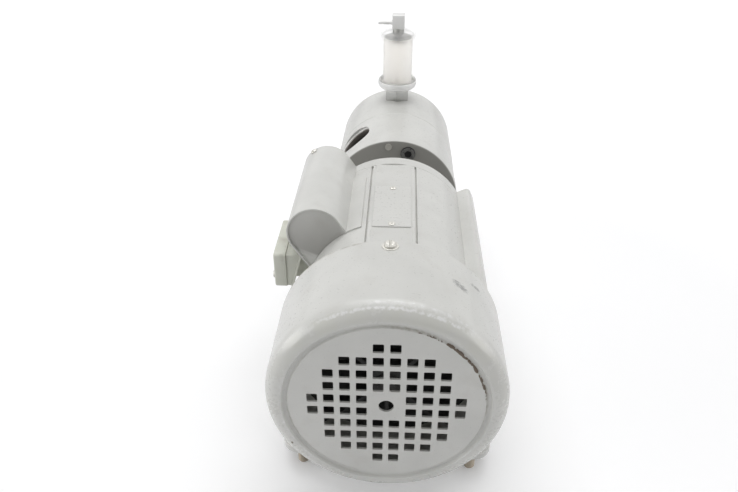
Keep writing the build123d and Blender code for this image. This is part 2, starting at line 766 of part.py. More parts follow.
def terminal_box():
    """Cast box on the left flank of the frame, open towards its lid."""
    space = box_space(0)
    hollow = box_space(box_wall) + block(box_x0 + lid_depth - 1, box_x0 + lid_depth + 4,
                                         box_y0 + lid_step + box_wall, box_y1 - lid_step - box_wall,
                                         box_z0 + lid_step + box_wall, box_z1 - lid_step - box_wall)
    box = space - hollow
    box = max(box.solids(), key=lambda s: s.volume)
    mid_z = (box_z0 + box_z1) / 2
    box = Part() + box - along_y(6.0, box_y1 - 6, box_y1 + 1, box_x0 + lid_depth + 8, mid_z)
    bosses = []
    for y in (box_y0 + 7, box_y1 - lid_screw_inset):
        bosses.append(along_x(3.0, box_x0 + lid_depth, box_x0 + lid_depth + 14, y, box_z0 + 7))
    box = box + bosses
    for y in (box_y0 + 7, box_y1 - lid_screw_inset):
        box -= along_x(lid_screw_r, box_x0 + lid_depth - 1, box_x0 + lid_depth + 11, y, box_z0 + 7)
    return box


def terminal_box_lid():
    """Deep lid over the open side of the box, with a round knock-out on its upper side."""
    lid = block(box_x0, box_x0 + lid_depth - seat_gap, box_y0, box_y1, box_z0, box_z1)
    lid = fillet(lid.edges().filter_by(Axis.X), 2.5)
    lid -= block(box_x0 + box_wall, box_x0 + lid_depth + 1, box_y0 + box_wall, box_y1 - box_wall,
                 box_z0 + box_wall, box_z1 - box_wall)
    for y in (box_y0 + 7, box_y1 - lid_screw_inset):
        lid += along_x(3.6, box_x0 + box_wall - 0.5, box_x0 + lid_depth - seat_gap, y, box_z0 + 7)
        lid -= along_x(lid_screw_r + fit_gap, box_x0 - 1, box_x0 + lid_depth + 1, y, box_z0 + 7)
    x = box_x0 + lid_depth / 2
    return lid - (along_z(knockout_r, box_z1 - 0.4, box_z1 + 1, x, knockout_y)
                  - along_z(knockout_r - 0.6, box_z1 - 1, box_z1 + 2, x, knockout_y))


def terminal_box_screws():
    screws = []
    for y in (box_y0 + 7, box_y1 - lid_screw_inset):
        one = along_x(lid_screw_r, box_x0, box_x0 + lid_depth + 10, y, box_z0 + 7)
        one += along_x(3.0, box_x0 - 2.0, box_x0, y, box_z0 + 7)
        one -= block(box_x0 - 3, box_x0 - 1, y - 4, y + 4, box_z0 + 6.6, box_z0 + 7.4)
        screws.append(one)
    return screws


def terminal_block():
    """Moulded block with three brass posts, on the floor of the box."""
    x0 = box_x0 + lid_depth + box_wall
    z0 = box_z0 + lid_step + box_wall
    body = block(x0, x0 + 8, box_y0 + 16, box_y1 - 13, z0, z0 + 6)
    posts = []
    for i in range(3):
        y = box_y0 + 20 + i * 7
        body -= along_z(1.5, z0 + 1, z0 + 7, x0 + 4, y)
        posts.append(along_z(1.5, z0 + 1, z0 + 11, x0 + 4, y))
        posts[-1] += along_z(2.6, z0 + 6, z0 + 8, x0 + 4, y)
    return [body] + posts


def cable_grommet():
    """Closed rubber grommet in the back wall of the box, where a supply lead would enter."""
    x, z = box_x0 + lid_depth + 8, (box_z0 + box_z1) / 2
    y1 = box_y1 - lid_step
    y0 = y1 - box_wall
    return (along_y(6.0, y0, y1, x, z) + along_y(7.4, y1, y1 + 2, x, z) + along_y(7.0, y0 - 1.4, y0, x, z))


# ---------------------------------------------------------------- foot plate and studs

def stud_places():
    return [(x, y) for y in (stud_y0, stud_y0 + stud_pitch) for x in (-stud_x, stud_x)]


def foot_plate():
    length = foot_plate_y1 - foot_plate_y0
    face = RectangleRounded(2 * foot_plate_half_width, length, foot_plate_corner_r)
    plate = extrude(Pos(0, (foot_plate_y0 + foot_plate_y1) / 2, foot_plate_top - foot_plate_t) * face, foot_plate_t)
    for x, y in stud_places():
        plate -= along_z(stud_r + fit_gap, foot_plate_top - foot_plate_t - 1, foot_plate_top + 1, x, y)
    return plate


def frame_cradles():
    """Two bent saddles welded between the foot plate and the frame."""
    cradles = []
    for y in cradle_y:
        y0, y1 = y - cradle_length / 2, y + cradle_length / 2
        saddle = block(-cradle_half_width, cradle_half_width, y0, y1, foot_plate_top, 0)
        saddle -= along_y(frame_r, y0 - 1, y1 + 1)
        arch_r = frame_r + cradle_wall
        low = foot_plate_top + cradle_wall
        hollow = block(-cradle_half_width + cradle_wall, cradle_half_width - cradle_wall, y0 - 1, y1 + 1, low, 0)
        hollow -= along_y(arch_r, y0 - 2, y1 + 2)
        saddle -= hollow
        cradles.append(saddle)
    return cradles


def foot_studs():
    top = foot_plate_top + nut_h + 3
    step = foot_plate_top - foot_plate_t - foot_disc_t
    return [along_z(stud_r, -shaft_height, step, x, y) + along_z(stud_shank_r, step - 1, top, x, y)
            for x, y in stud_places()]


def foot_nuts():
    nuts = []
    for x, y in stud_places():
        nut = extrude(Pos(x, y, foot_plate_top) * hex_face(nut_af), nut_h)
        nuts.append(nut - along_z(stud_shank_r, foot_plate_top - 1, foot_plate_top + nut_h + 1, x, y))
    return nuts


def foot_discs():
    """Rubber discs under the foot plate, one on each stud."""
    low = foot_plate_top - foot_plate_t - foot_disc_t
    return [turned_z(x, y, (stud_r, low), (foot_disc_r - 1, low), (foot_disc_r, low + 1),
                     (foot_disc_r, low + foot_disc_t), (stud_r, low + foot_disc_t)) for x, y in stud_places()]


# ---------------------------------------------------------------- pump casing

def pump_adapter():
    """Casting between motor and pump: flange, hollow neck, and the disc that closes the drum."""
    y0 = drive_shield_y1
    bore_r = neck_r - neck_wall
    flange_y1 = y0 + adapter_flange_t
    shaft_hole_r = pump_shaft_r + 3
    part = turned_y(
        (bore_r, y0 - adapter_register_h + seat_gap), (adapter_register_r - seat_gap, y0 - adapter_register_h + seat_gap),
        (adapter_register_r - seat_gap, y0), (adapter_flange_r, y0), (adapter_flange_r, flange_y1), (neck_r, flange_y1),
        (neck_r, drum_y0), (disc_r - drum_edge, drum_y0), (disc_r, drum_y0 + drum_edge), (disc_r, disc_y1 - drum_edge),
        (disc_r - drum_edge, disc_y1), (drum_bore_r - seat_gap, disc_y1),
        (drum_bore_r - seat_gap, crankcase_flange_y0), (shaft_hole_r, crankcase_flange_y0),
        (shaft_hole_r, drum_y0), (bore_r, drum_y0 - 10))
    for angle in tie_bolt_angles:
        x, z = polar(adapter_screw_circle, angle + 45)
        part -= along_y(adapter_screw_r + fit_gap, y0 - 1, flange_y1 + 1, x, z)
        x, z = polar(crankcase_screw_circle, angle)
        part -= along_y(crankcase_screw_r, crankcase_flange_y0 - 10, crankcase_flange_y0 + 1, x, z)
    for angle in front_screw_angles:
        x, z = polar(front_screw_circle, angle)
        part -= along_y(front_screw_r + fit_gap, drum_y0 - 1, crankcase_flange_y0 + 1, x, z)
    x, z = polar(pin_circle, pin_angle)
    return part - along_y(pin_r, drum_y0 - 1, drum_y0 + 8, x, z)


def adapter_screws():
    screws = []
    seat = drive_shield_y1 + adapter_flange_t
    for angle in tie_bolt_angles:
        x, z = polar(adapter_screw_circle, angle + 45)
        screws.append(cap_screw_y(adapter_screw_r, 5.0, 6.0, seat, drive_shield_y1 - 10, x, z))
    return screws


def housing_front_screws():
    """Black socket-head screws on the face of the drum."""
    tip = crankcase_flange_y0 + front_lug_length - 3
    return [cap_screw_y(front_screw_r, front_screw_head_r, front_screw_head_h, drum_y0, tip,
                        *polar(front_screw_circle, angle), socket_af=front_screw_socket_af)
            for angle in front_screw_angles]


def locating_pin():
    x, z = polar(pin_circle, pin_angle)
    pin = along_y(pin_r, drum_y0 - 1.8, drum_y0 + 8, x, z)
    return pin - along_y(1.0, drum_y0 - 2, drum_y0 + 1, x, z)


def port_axis():
    """Places a shape drawn up the Z axis onto the axis of the outlet port."""
    return Pos(0, port_y, 0) * Rot(0, port_angle, 0)


def drum_lug(r, circle, y0, y1, angle):
    """Screw lug inside the drum wall."""
    lug = along_y(r, y0, y1, 0, circle) + block(-r, r, y0, y1, circle, drum_bore_r + 1)
    return Rot(0, angle, 0) * (lug & along_y(drum_bore_r + 1, y0, y1))


def pump_housing():
    """Front barrel of the drum: shell, screw lugs and the threaded outlet boss."""
    e = drum_edge
    shell = turned_y((drum_bore_r, disc_y1), (drum_r - e, disc_y1), (drum_r, disc_y1 + e), (drum_r, drum_seam_y - e),
                     (drum_r - e, drum_seam_y), (drum_bore_r, drum_seam_y))
    lug_y0 = crankcase_flange_y0 + seat_gap
    for angle in front_screw_angles:
        shell += drum_lug(front_lug_r, front_screw_circle, lug_y0, lug_y0 + front_lug_length, angle)
    for angle in tie_bolt_angles:
        shell += drum_lug(rear_lug_r, rear_screw_circle, drum_seam_y - rear_lug_length, drum_seam_y, angle)
    boss = port_axis() * along_z(port_boss_r, port_boss_root_r, drum_r)
    shell += boss & along_y(drum_r - 0.5, port_y - 30, port_y + 30)
    for angle in front_screw_angles:
        x, z = polar(front_screw_circle, angle)
        shell -= along_y(front_screw_r, disc_y1, crankcase_flange_y0 + front_lug_length - 1, x, z)
    for angle in tie_bolt_angles:
        x, z = polar(rear_screw_circle, angle)
        shell -= along_y(rear_screw_r, drum_seam_y - rear_lug_length - 1, drum_seam_y + 1, x, z)
    mouth_r = sqrt(drum_r ** 2 - (port_thread_r + port_chamfer) ** 2)
    floor_r = mouth_r - port_thread_length
    shell -= port_axis() * along_z(port_thread_r, floor_r, drum_r + 2)
    shell -= port_axis() * along_z(port_throat_r, port_boss_root_r - 2, floor_r + 1)
    cone = turned_z(0, 0, (0, mouth_r - port_chamfer), (port_thread_r, mouth_r - port_chamfer),
                    (port_thread_r + port_chamfer, mouth_r), (port_thread_r + port_chamfer + port_flat, mouth_r),
                    (port_thread_r + port_chamfer + port_flat, mouth_r + 6), (0, mouth_r + 6))
    return shell - port_axis() * cone


def rear_housing():
    """Rear shell of the drum with its end wall; the filter nipple passes through its top."""
    e = drum_edge
    outline = make_face(Polyline(
        (drum_bore_r, drum_seam_y), (drum_r - e, drum_seam_y), (drum_r, drum_seam_y + e), (drum_r - 1.0, drum_y1),
        (0, drum_y1), (0, drum_y1 - drum_end_wall), (drum_bore_r, drum_y1 - drum_end_wall), close=True))
    corner = outline.vertices().sort_by_distance(Vector(drum_r, drum_y1))[0]
    shell = revolve(fillet(corner, drum_end_fillet), axis=Axis.Y)
    lip = ring_y(drum_bore_r - 2, drum_bore_r - seat_gap, drum_seam_y - 3, drum_seam_y + 3)
    lip += ring_y(drum_bore_r - 2, drum_bore_r + 1, drum_seam_y + 1.5, drum_seam_y + 3)
    for angle in tie_bolt_angles:
        gap_r = rear_lug_r + 0.4
        notch = block(-gap_r, gap_r, drum_seam_y - 4, drum_seam_y + 0.5, rear_screw_circle, drum_bore_r + 0.5)
        lip -= Rot(0, angle, 0) * notch
    shell += lip
    for angle in tie_bolt_angles:
        x, z = polar(rear_screw_circle, angle)
        shell -= along_y(rear_screw_r + fit_gap, drum_y1 - 10, drum_y1 + 1, x, z)
        shell -= along_y(rear_screw_head_r + fit_gap, drum_y1 - 1.2, drum_y1 + 1, x, z)
    shell -= along_z(inlet_bore_r + fit_gap, drum_bore_r - 6, drum_r + 2, 0, filter_y)
    return shell - along_z(nipple_flat_r, nipple_seat_z, drum_r + 2, 0, filter_y)


def housing_rear_screws():
    """Long screws from the end wall to the lugs of the front barrel."""
    seat = drum_y1 - 1.2
    tip = drum_seam_y - rear_lug_length + 1
    return [cap_screw_y(rear_screw_r, rear_screw_head_r, rear_screw_head_h, seat, tip,
                        *polar(rear_screw_circle, angle), socket_af=4.0) for angle in tie_bolt_angles]


# ---------------------------------------------------------------- crank, rod and diaphragm

def crankcase():
    """Inner casting: barrel round the crank, tail bearing wall, and the pot that seats the diaphragm."""
    y0 = crankcase_flange_y0 + seat_gap
    body = ring_y(crankcase_bore_r, crankcase_flange_r, y0, y0 + crankcase_flange_t)
    body += along_y(crankcase_r, y0, crankcase_y1)
    body += along_z(head_r, 0, head_seat_z, 0, head_y) & along_y(crankcase_r + head_r, y0, crankcase_y1 + 5)
    body -= along_y(crankcase_bore_r, y0 - 1, crankcase_y1 - crankcase_tail_wall)
    body -= along_y(tail_bearing_outer_r, crankcase_y1 - crankcase_tail_wall - 1, tail_bearing_y1)
    body -= along_y(tail_bearing_outer_r - 3, tail_bearing_y1 - 1, crankcase_y1 + 5)
    body -= along_z(pot_bore_r, pot_floor_z, head_seat_z + 1, 0, head_y)
    body -= along_z(head_r + 0.3, head_seat_z, crankcase_r + 2, 0, head_y)
    for angle in tie_bolt_angles:
        x, z = polar(crankcase_screw_circle, angle)
        body -= along_y(crankcase_screw_r + fit_gap, y0 - 1, y0 + crankcase_flange_t + 1, x, z)
        x, dy = polar(head_screw_circle, angle)
        body -= along_z(head_screw_r, head_seat_z - 7.6, head_seat_z + 1, x, head_y + dy)
    return body


def crankcase_screws():
    seat = crankcase_flange_y0 + seat_gap + crankcase_flange_t
    return [cap_screw_y(crankcase_screw_r, 4.2, 5.0, seat, crankcase_flange_y0 - 9, *polar(crankcase_screw_circle, a))
            for a in tie_bolt_angles]


def eccentric():
    """Offset journal with its counterweight, shrunk onto the shaft."""
    y1 = counterweight_y0 + counterweight_length
    hub = along_y(counterweight_hub_r, counterweight_y0, y1)
    weight = along_y(counterweight_r, counterweight_y0, y1) & block(-30, 30, counterweight_y0, y1, -30, -2)
    journal = along_y(eccentric_r, y1 - 1, head_y + eccentric_length / 2, 0, throw)
    body = hub + weight + journal
    return body - along_y(crank_seat_r, counterweight_y0 - 1, head_y + eccentric_length)


def connecting_rod():
    """Ring round the crank bearing, a short neck, and the disc that carries the diaphragm."""
    y0, y1 = head_y - rod_width / 2, head_y + rod_width / 2
    rod = along_y(rod_ring_r, y0, y1, 0, throw)
    rod += block(-rod_neck_half_width, rod_neck_half_width, y0, y1, throw, rod_top_z)
    rod += along_z(rod_width, rod_top_z - 3, rod_top_z, 0, head_y)
    z0, z1 = rod_top_z, rod_top_z + support_disc_t
    rod += turned_z(0, head_y, (0, z0), (clamp_disc_r - 2, z0), (clamp_disc_r, z1 - 1), (clamp_disc_r, z1), (0, z1))
    rod -= along_y(crank_bearing_outer_r, y0 - 1, y1 + 1, 0, throw)
    return rod - along_z(clamp_screw_r, rod_top_z - 7, z1 + 1, 0, head_y)


def diaphragm():
    """Rubber disc, clamped at its rim and centre, drawn at the top of the stroke."""
    z_rim, z_mid = head_seat_z, rod_top_z + support_disc_t
    roll_in = clamp_disc_r + 1.0
    disc = turned_z(0, head_y, (clamp_screw_r, z_mid), (roll_in, z_mid), (diaphragm_roll_r, z_rim), (head_r, z_rim),
                    (head_r, z_rim + diaphragm_t), (diaphragm_roll_r, z_rim + diaphragm_t),
                    (roll_in, z_mid + diaphragm_t), (clamp_screw_r, z_mid + diaphragm_t))
    for angle in tie_bolt_angles:
        x, dy = polar(head_screw_circle, angle)
        disc -= along_z(head_screw_r + fit_gap, z_rim - 1, z_rim + diaphragm_t + 1, x, head_y + dy)
    return disc


def clamp_disc():
    z0 = rod_top_z + support_disc_t + diaphragm_t
    z1 = z0 + clamp_disc_t
    return turned_z(0, head_y, (clamp_screw_r, z0), (clamp_disc_r, z0), (clamp_disc_r, z0 + 1), (clamp_disc_r - 1.5, z1),
                    (clamp_screw_head_r, z1), (clamp_screw_r, z0 + 0.3))


def clamp_screw():
    z0 = rod_top_z + support_disc_t + diaphragm_t
    z1 = z0 + clamp_disc_t
    tip = rod_top_z - 6
    return turned_z(0, head_y, (0, tip), (clamp_screw_r, tip), (clamp_screw_r, z0 + 0.3), (clamp_screw_head_r, z1), (0, z1))


# ---------------------------------------------------------------- valve plate and head

def head_screw_places():
    return [(polar(head_screw_circle, a)[0], head_y + polar(head_screw_circle, a)[1]) for a in tie_bolt_angles]


def valve_plate():
    """Plate over the diaphragm: dome below, one valve pocket each way."""
    plate = along_z(head_r, valve_plate_z0, valve_plate_z1, 0, head_y)
    plate -= along_z(dome_r, valve_plate_z0 - 1, dome_top_z, 0, head_y)
    plate -= along_z(valve_pocket_r, dome_top_z - 1, valve_web_z, valve_x, head_y)
    plate -= along_z(valve_hole_r, valve_web_z - 1, valve_plate_z1 + 1, valve_x, head_y)
    plate -= along_z(valve_pocket_r, valve_web_z, valve_plate_z1 + 1, -valve_x, head_y)
    plate -= along_z(valve_hole_r, dome_top_z - 1, valve_web_z + 1, -valve_x, head_y)
    for x, y in head_screw_places():
        plate -= along_z(head_screw_r + fit_gap, valve_plate_z0 - 1, valve_plate_z1 + 1, x, y)
    return plate


def inlet_valve_disc():
    return along_z(valve_disc_r, valve_web_z - valve_disc_t - seat_gap, valve_web_z - seat_gap, valve_x, head_y)


def outlet_valve_disc():
    return along_z(valve_disc_r, valve_web_z + seat_gap, valve_web_z + valve_disc_t + seat_gap, -valve_x, head_y)


def valve_guards():
    """Perforated stops that limit the lift of the two valve discs."""
    guards = []
    for x, z in ((valve_x, dome_top_z), (-valve_x, valve_plate_z1 - valve_guard_t)):
        guard = along_z(valve_pocket_r - seat_gap, z, z + valve_guard_t, x, head_y)
        for i in range(4):
            dx, dy = polar(valve_pocket_r * 0.55, 90 * i + 45)
            guard -= along_z(valve_pocket_r * 0.25, z - 1, z + valve_guard_t + 1, x + dx, head_y + dy)
        guards.append(guard)
    return guards


def head_cover():
    """Head with an inlet chamber under the nipple and an outlet chamber open to the drum."""
    z0 = head_cover_z0
    head = along_z(head_r, z0, head_cover_top_z, 0, head_y) & along_y(head_cap_r, head_y - head_r - 1, head_y + head_r + 1)
    head -= block(-3.5, 15.5, head_y - 9, head_y + 9, z0 - 1, z0 + chamber_depth)
    head -= block(-15.5, -5.5, head_y - 9, head_y + 9, z0 - 1, z0 + chamber_depth)
    head -= block(-head_r - 1, -15, head_y - 4, head_y + 4, z0 - 1, z0 + chamber_depth - 0.5)
    way_y = filter_y - 3.0
    head -= along_z(2.5, z0 + chamber_depth - 0.5, z0 + chamber_depth + 2, 4, way_y)
    head -= along_z(inlet_bore_r, z0 + chamber_depth + 1.5, head_cover_top_z + 3, 0, filter_y)
    for x, y in head_screw_places():
        head -= along_z(head_screw_r + fit_gap, z0 - 1, head_cover_top_z + 3, x, y)
        head -= along_z(head_screw_head_r + fit_gap, head_cover_top_z - 7, head_cover_top_z + 3, x, y)
    return head


def head_screws():
    seat = head_cover_top_z - 7
    return [along_z(head_screw_r, head_seat_z - 7.5, seat, x, y)
            + along_z(head_screw_head_r, seat, seat + head_screw_head_h, x, y) for x, y in head_screw_places()]


# ---------------------------------------------------------------- inlet filter

def ring_about_z(r0, r1, z0, z1):
    return turned_z(0, filter_y, (r0, z0), (r1, z0), (r1, z1), (r0, z1))


def filter_nipple():
    """Hexagonal nipple screwed through the drum into the head."""
    tip = head_cover_z0 + chamber_depth + 1.8
    body = along_z(inlet_bore_r - seat_gap, tip, nipple_seat_z + 1, 0, filter_y)
    body += extrude(Pos(0, filter_y, nipple_seat_z) * hex_face(nipple_af), nipple_z1 - nipple_seat_z)
    body += along_z(nipple_spigot_r, nipple_z1 - 1, filter_floor_z, 0, filter_y)
    return body - along_z(nipple_bore_r, tip - 1, filter_floor_z + 1, 0, filter_y)


def filter_base():
    """Aluminium base ring of the filter."""
    z0, z1, g = nipple_z1, filter_base_z1, filter_groove
    mid = (z0 + z1) / 2
    r, spigot = filter_base_r, bowl_spigot_r + fit_gap
    return turned_z(0, filter_y, (nipple_spigot_r, z0), (r - 2.5, z0), (r - 0.8, z0 + 1.5), (r - 0.8, mid - g),
                    (r - 1.4, mid - g / 2), (r, mid), (r, z1), (spigot, z1), (spigot, filter_floor_z),
                    (nipple_spigot_r, filter_floor_z))


def filter_bowl():
    """Clear bowl with a rounded shoulder and a hub sunk round the stem."""
    top, s, w = bowl_z1, bowl_shoulder_r, bowl_wall
    hub_z = top - bowl_hub_depth
    diagonal = sqrt(0.5)
    edges = [
        Line((bowl_r - w, filter_floor_z), (bowl_spigot_r, filter_floor_z)),
        Line((bowl_spigot_r, filter_floor_z), (bowl_spigot_r, filter_base_z1)),
        Line((bowl_spigot_r, filter_base_z1), (bowl_r, filter_base_z1)),
        Line((bowl_r, filter_base_z1), (bowl_r, top - s)),
        ThreePointArc((bowl_r, top - s), (bowl_r - s + s * diagonal, top - s + s * diagonal), (bowl_r - s, top)),
        Line((bowl_r - s, top), (bowl_hub_r, top - 0.5)),
        Line((bowl_hub_r, top - 0.5), (bowl_hub_r - 1, hub_z)),
        Line((bowl_hub_r - 1, hub_z), (stem_r + fit_gap, hub_z)),
        Line((stem_r + fit_gap, hub_z), (stem_r + fit_gap, hub_z - w)),
        Line((stem_r + fit_gap, hub_z - w), (bowl_hub_r + 1, hub_z - w)),
        Line((bowl_hub_r + 1, hub_z - w), (bowl_hub_r + 1.5, top - w - 0.4)),
        Line((bowl_hub_r + 1.5, top - w - 0.4), (bowl_r - s, top - w)),
        ThreePointArc((bowl_r - s, top - w), (bowl_r - s + (s - w) * diagonal, top - s + (s - w) * diagonal),
                      (bowl_r - w, top - s)),
        Line((bowl_r - w, top - s), (bowl_r - w, filter_floor_z)),
    ]
    return Pos(0, filter_y, 0) * revolve(Plane.XZ * make_face(Wire(edges)), axis=Axis.Z)


def filter_element():
    """Hollow sintered element standing on the base."""
    return ring_about_z(element_bore_r, element_r, filter_floor_z, element_z1)


def filter_stem():
    """Tube through the bowl that carries the elbow and clamps the bowl down."""
    hub_z = bowl_z1 - bowl_hub_depth
    body = along_z(stem_r, element_z1 - 2, block_z0 + block_height - 2.5, 0, filter_y)
    body += along_z(collar_r, hub_z, block_z0, 0, filter_y)
    body += along_z(element_bore_r - 0.2, element_z1 - 3, element_z1, 0, filter_y)
    body += along_z(element_r - 1, element_z1, element_z1 + 1.0, 0, filter_y)
    body -= along_z(stem_bore_r, element_z1 - 4, barb_z + 1, 0, filter_y)
    return body - along_x(barb_bore_r, -stem_r - 1, 0, filter_y, barb_z)


def elbow_block():
    """Square elbow body on top of the stem."""
    half = block_side / 2
    body = block(-half, half, filter_y - half, filter_y + half, block_z0, block_z0 + block_height)
    body = chamfer(body.edges(), 0.5)
    body -= along_z(stem_r, block_z0 - 1, block_z0 + block_height - 2.5, 0, filter_y)
    return body - along_x(barb_r, -half - 1, -stem_r + 0.4, filter_y, barb_z)


def hose_barb():
    """Barbed tail for a small hose, pointing left."""
    half = block_side / 2
    x0 = -half
    tip = x0 - barb_length
    third = barb_length / 4
    r, c = barb_r, barb_crest_r
    outline = [(barb_bore_r, -stem_r - 0.1), (r, -stem_r - 0.1), (r, x0), (c, x0), (c, x0 - 1.5), (r, x0 - 1.5)]
    for i in (1, 2, 3):
        start = x0 - i * third
        outline += [(r, start), (c, start), (r, start - third + 0.4)]
    outline += [(r, tip), (barb_bore_r, tip)]
    face = make_face(Polyline(*[(x, radius) for radius, x in outline], close=True))
    return Pos(0, filter_y, barb_z) * revolve(face, axis=Axis.X)


# ---------------------------------------------------------------- the whole

def bearings():
    """Rings and balls of the four ball bearings, by node name."""
    fan = ball_bearing(fan_bearing_y0, fan_bearing_width, fan_bearing_bore_r, fan_bearing_outer_r,
                       fan_bearing_balls, fan_ball_r)
    drive = ball_bearing(drive_bearing_y0, drive_bearing_width, drive_bearing_bore_r, drive_bearing_outer_r,
                         drive_bearing_balls, drive_ball_r)
    tail = ball_bearing(tail_bearing_y0, tail_bearing_width, tail_seat_r, tail_bearing_outer_r,
                        tail_bearing_balls, tail_ball_r)
    crank = ball_bearing(crank_bearing_y0, crank_bearing_width, eccentric_r, crank_bearing_outer_r,
                         crank_bearing_balls, crank_ball_r, throw)
    return {
        "bearing_inner_rings": [fan[0], drive[0], tail[0]],
        "bearing_outer_rings": [fan[1], drive[1], tail[1]],
        "fan_bearing_balls": fan[2],
        "drive_bearing_balls": drive[2],
        "tail_bearing_balls": tail[2],
        "crank_bearing_inner": crank[0],
        "crank_bearing_outer": crank[1],
        "crank_bearing_balls": crank[2],
    }


def small_screws():
    """Pan-head screws of the blank plate, the capacitor cover and the terminal box lid."""
    return blank_plate_screws() + capacitor_cover_screws() + terminal_box_screws()


def casing_screws():
    """Socket-head screws of the adapter flange, the drum's end wall and the crankcase flange."""
    return adapter_screws() + housing_rear_screws() + crankcase_screws()


def build():
    makers = [
        fan_cover, fan_cover_screws, external_fan, fan_circlip, fan_end_shield, wave_washer, motor_frame,
        stator_core, stator_windings, rotor_core, motor_shaft, drive_end_shield, tie_bolts, shaft_seal,
        blank_plate, capacitor_cover, run_capacitor, terminal_box, terminal_box_lid, terminal_block,
        cable_grommet, small_screws, foot_plate, frame_cradles, foot_studs, foot_nuts, foot_discs,
        pump_adapter, casing_screws, housing_front_screws, locating_pin, pump_housing, rear_housing,
        crankcase, eccentric, connecting_rod, diaphragm, clamp_disc, clamp_screw, valve_plate, valve_guards,
        inlet_valve_disc, outlet_valve_disc, head_cover, head_screws, filter_nipple, filter_base,
        filter_bowl, filter_element, filter_stem, elbow_block, hose_barb]
    nodes = {maker.__name__: maker() for maker in makers}
    nodes.update(bearings())
    return nodes


def write(nodes):
    os.makedirs("parts", exist_ok=True)
    place = Location((0, -stud_mid_y, shaft_height))
    for name, shape in nodes.items():
        solids = []
        for piece in shape if isinstance(shape, list) else [shape]:
            solids += [solid.moved(place) for solid in piece.solids()]
        export_step(solids[0] if len(solids) == 1 else Compound(children=solids), f"parts/{name}.step")
    print(len(nodes), "nodes")


write(build())
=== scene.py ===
# %% [markdown]
# # Dressing a motor-driven diaphragm vacuum pump
# The pump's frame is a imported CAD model: every part of it sits where it works, and it carries the
# collision and the joints.  This lesson gives it its looks.  Each visible part becomes a smooth
# surface that is a function of two parameters, worked out with numpy, and each gets a finish built
# from noise in the part's own coordinates.  The parts could be modelled by hand and bevelled, but a
# formula keeps every radius true and can be read again.  First the frame is loaded and its box is kept.

import bmesh
import bpy
import numpy as np
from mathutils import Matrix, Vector


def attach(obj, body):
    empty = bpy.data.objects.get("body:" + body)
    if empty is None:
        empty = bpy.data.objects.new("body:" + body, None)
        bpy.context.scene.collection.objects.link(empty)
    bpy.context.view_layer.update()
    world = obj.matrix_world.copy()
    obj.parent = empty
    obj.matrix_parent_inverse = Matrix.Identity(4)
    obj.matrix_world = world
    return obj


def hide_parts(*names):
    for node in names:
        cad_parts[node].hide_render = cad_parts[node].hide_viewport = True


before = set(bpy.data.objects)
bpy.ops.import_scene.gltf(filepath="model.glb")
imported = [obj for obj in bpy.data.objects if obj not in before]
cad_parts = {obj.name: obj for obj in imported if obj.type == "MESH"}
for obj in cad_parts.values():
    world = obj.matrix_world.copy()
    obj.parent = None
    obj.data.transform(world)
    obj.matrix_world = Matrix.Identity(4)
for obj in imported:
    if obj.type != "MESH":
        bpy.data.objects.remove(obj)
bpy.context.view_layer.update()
BODY = "pump_body"

# %% [markdown]
# ## Places
# All shapes are written in the shaft's own millimetres: x across, y along the shaft from the face of
# the fan cover, z up from the shaft.  One function turns them into metres in the frame, so no part
# needs a place of its own and every finished object stays at the origin.

# %% Shaft millimetres to frame metres
SHAFT_HEIGHT, STUD_MID_Y = 98.0, 143.5


def in_frame(points):
    """Frame metres = (x, y - stud middle, z + shaft height) / 1000."""
    return (points + np.array([0.0, -STUD_MID_Y, SHAFT_HEIGHT])) / 1000.0


print("fan end of the shaft, m:", in_frame(np.zeros(3)))

# %% [markdown]
# ## Surfaces from two parameters
# A turned part is an outline carried round an axis, and a pressed or cast bar is a section carried
# along one.  Both are grids of points, so both share the same quads.  A real edge is never sharp.  A
# bevel could round it afterwards, but here every outline has its corners rounded before it is
# carried, so each edge has its own radius.

# %% Rounded outlines
def rounded(corners, longest=1e9, arc_steps=5):
    """Closed outline through (a, b, radius) corners.  Each corner gives way to an arc that touches
    both its sides: the arc starts radius / tan(half the corner's angle) from the corner, and its
    centre lies on the corner's bisector.  Straights are cut into runs no longer than `longest`."""
    spots = np.array([c[:2] for c in corners], float)
    radii = [c[2] for c in corners]
    run = []
    for k, radius in enumerate(radii):
        here = spots[k]
        back, ahead = spots[k - 1] - here, spots[(k + 1) % len(spots)] - here
        back, ahead = back / np.linalg.norm(back), ahead / np.linalg.norm(ahead)
        half = np.arccos(np.clip(back @ ahead, -1, 1)) / 2
        if radius <= 0 or half > np.radians(89):
            run.append(here[None])
            continue
        reach = radius / np.tan(half)
        centre = here + (back + ahead) / np.linalg.norm(back + ahead) * radius / np.sin(half)
        first, last = here + back * reach - centre, here + ahead * reach - centre
        s = np.linspace(0, 1, arc_steps + 1)[:, None]
        sweep = np.pi - 2 * half
        run.append(centre + (np.sin((1 - s) * sweep) * first + np.sin(s * sweep) * last) / np.sin(sweep))
    outline = np.concatenate(run)
    step = np.roll(outline, -1, axis=0) - outline
    cuts = np.maximum(1, np.ceil(np.linalg.norm(step, axis=1) / longest).astype(int))
    place = np.arange(cuts.sum()) - np.repeat(np.cumsum(cuts) - cuts, cuts)
    share = (place / np.repeat(cuts, cuts))[:, None]
    return np.repeat(outline, cuts, axis=0) + np.repeat(step, cuts, axis=0) * share


def quads(rows, columns, close_rows=False):
    """Four corners of each cell of a grid: (i, j), (i + 1, j), (i + 1, j + 1), (i, j + 1).  The
    columns close round to the first one, and the rows do too if asked."""
    i, j = np.meshgrid(np.arange(rows if close_rows else rows - 1), np.arange(columns), indexing="ij")
    below, right = (i + 1) % rows, (j + 1) % columns
    cells = [i * columns + j, below * columns + j, below * columns + right, i * columns + right]
    return np.stack(cells, axis=-1).reshape(-1, 4).tolist()


print("outline of a plate with round corners:", rounded([(0, 0, 1), (10, 0, 1), (10, 6, 1), (0, 6, 1)]).shape)


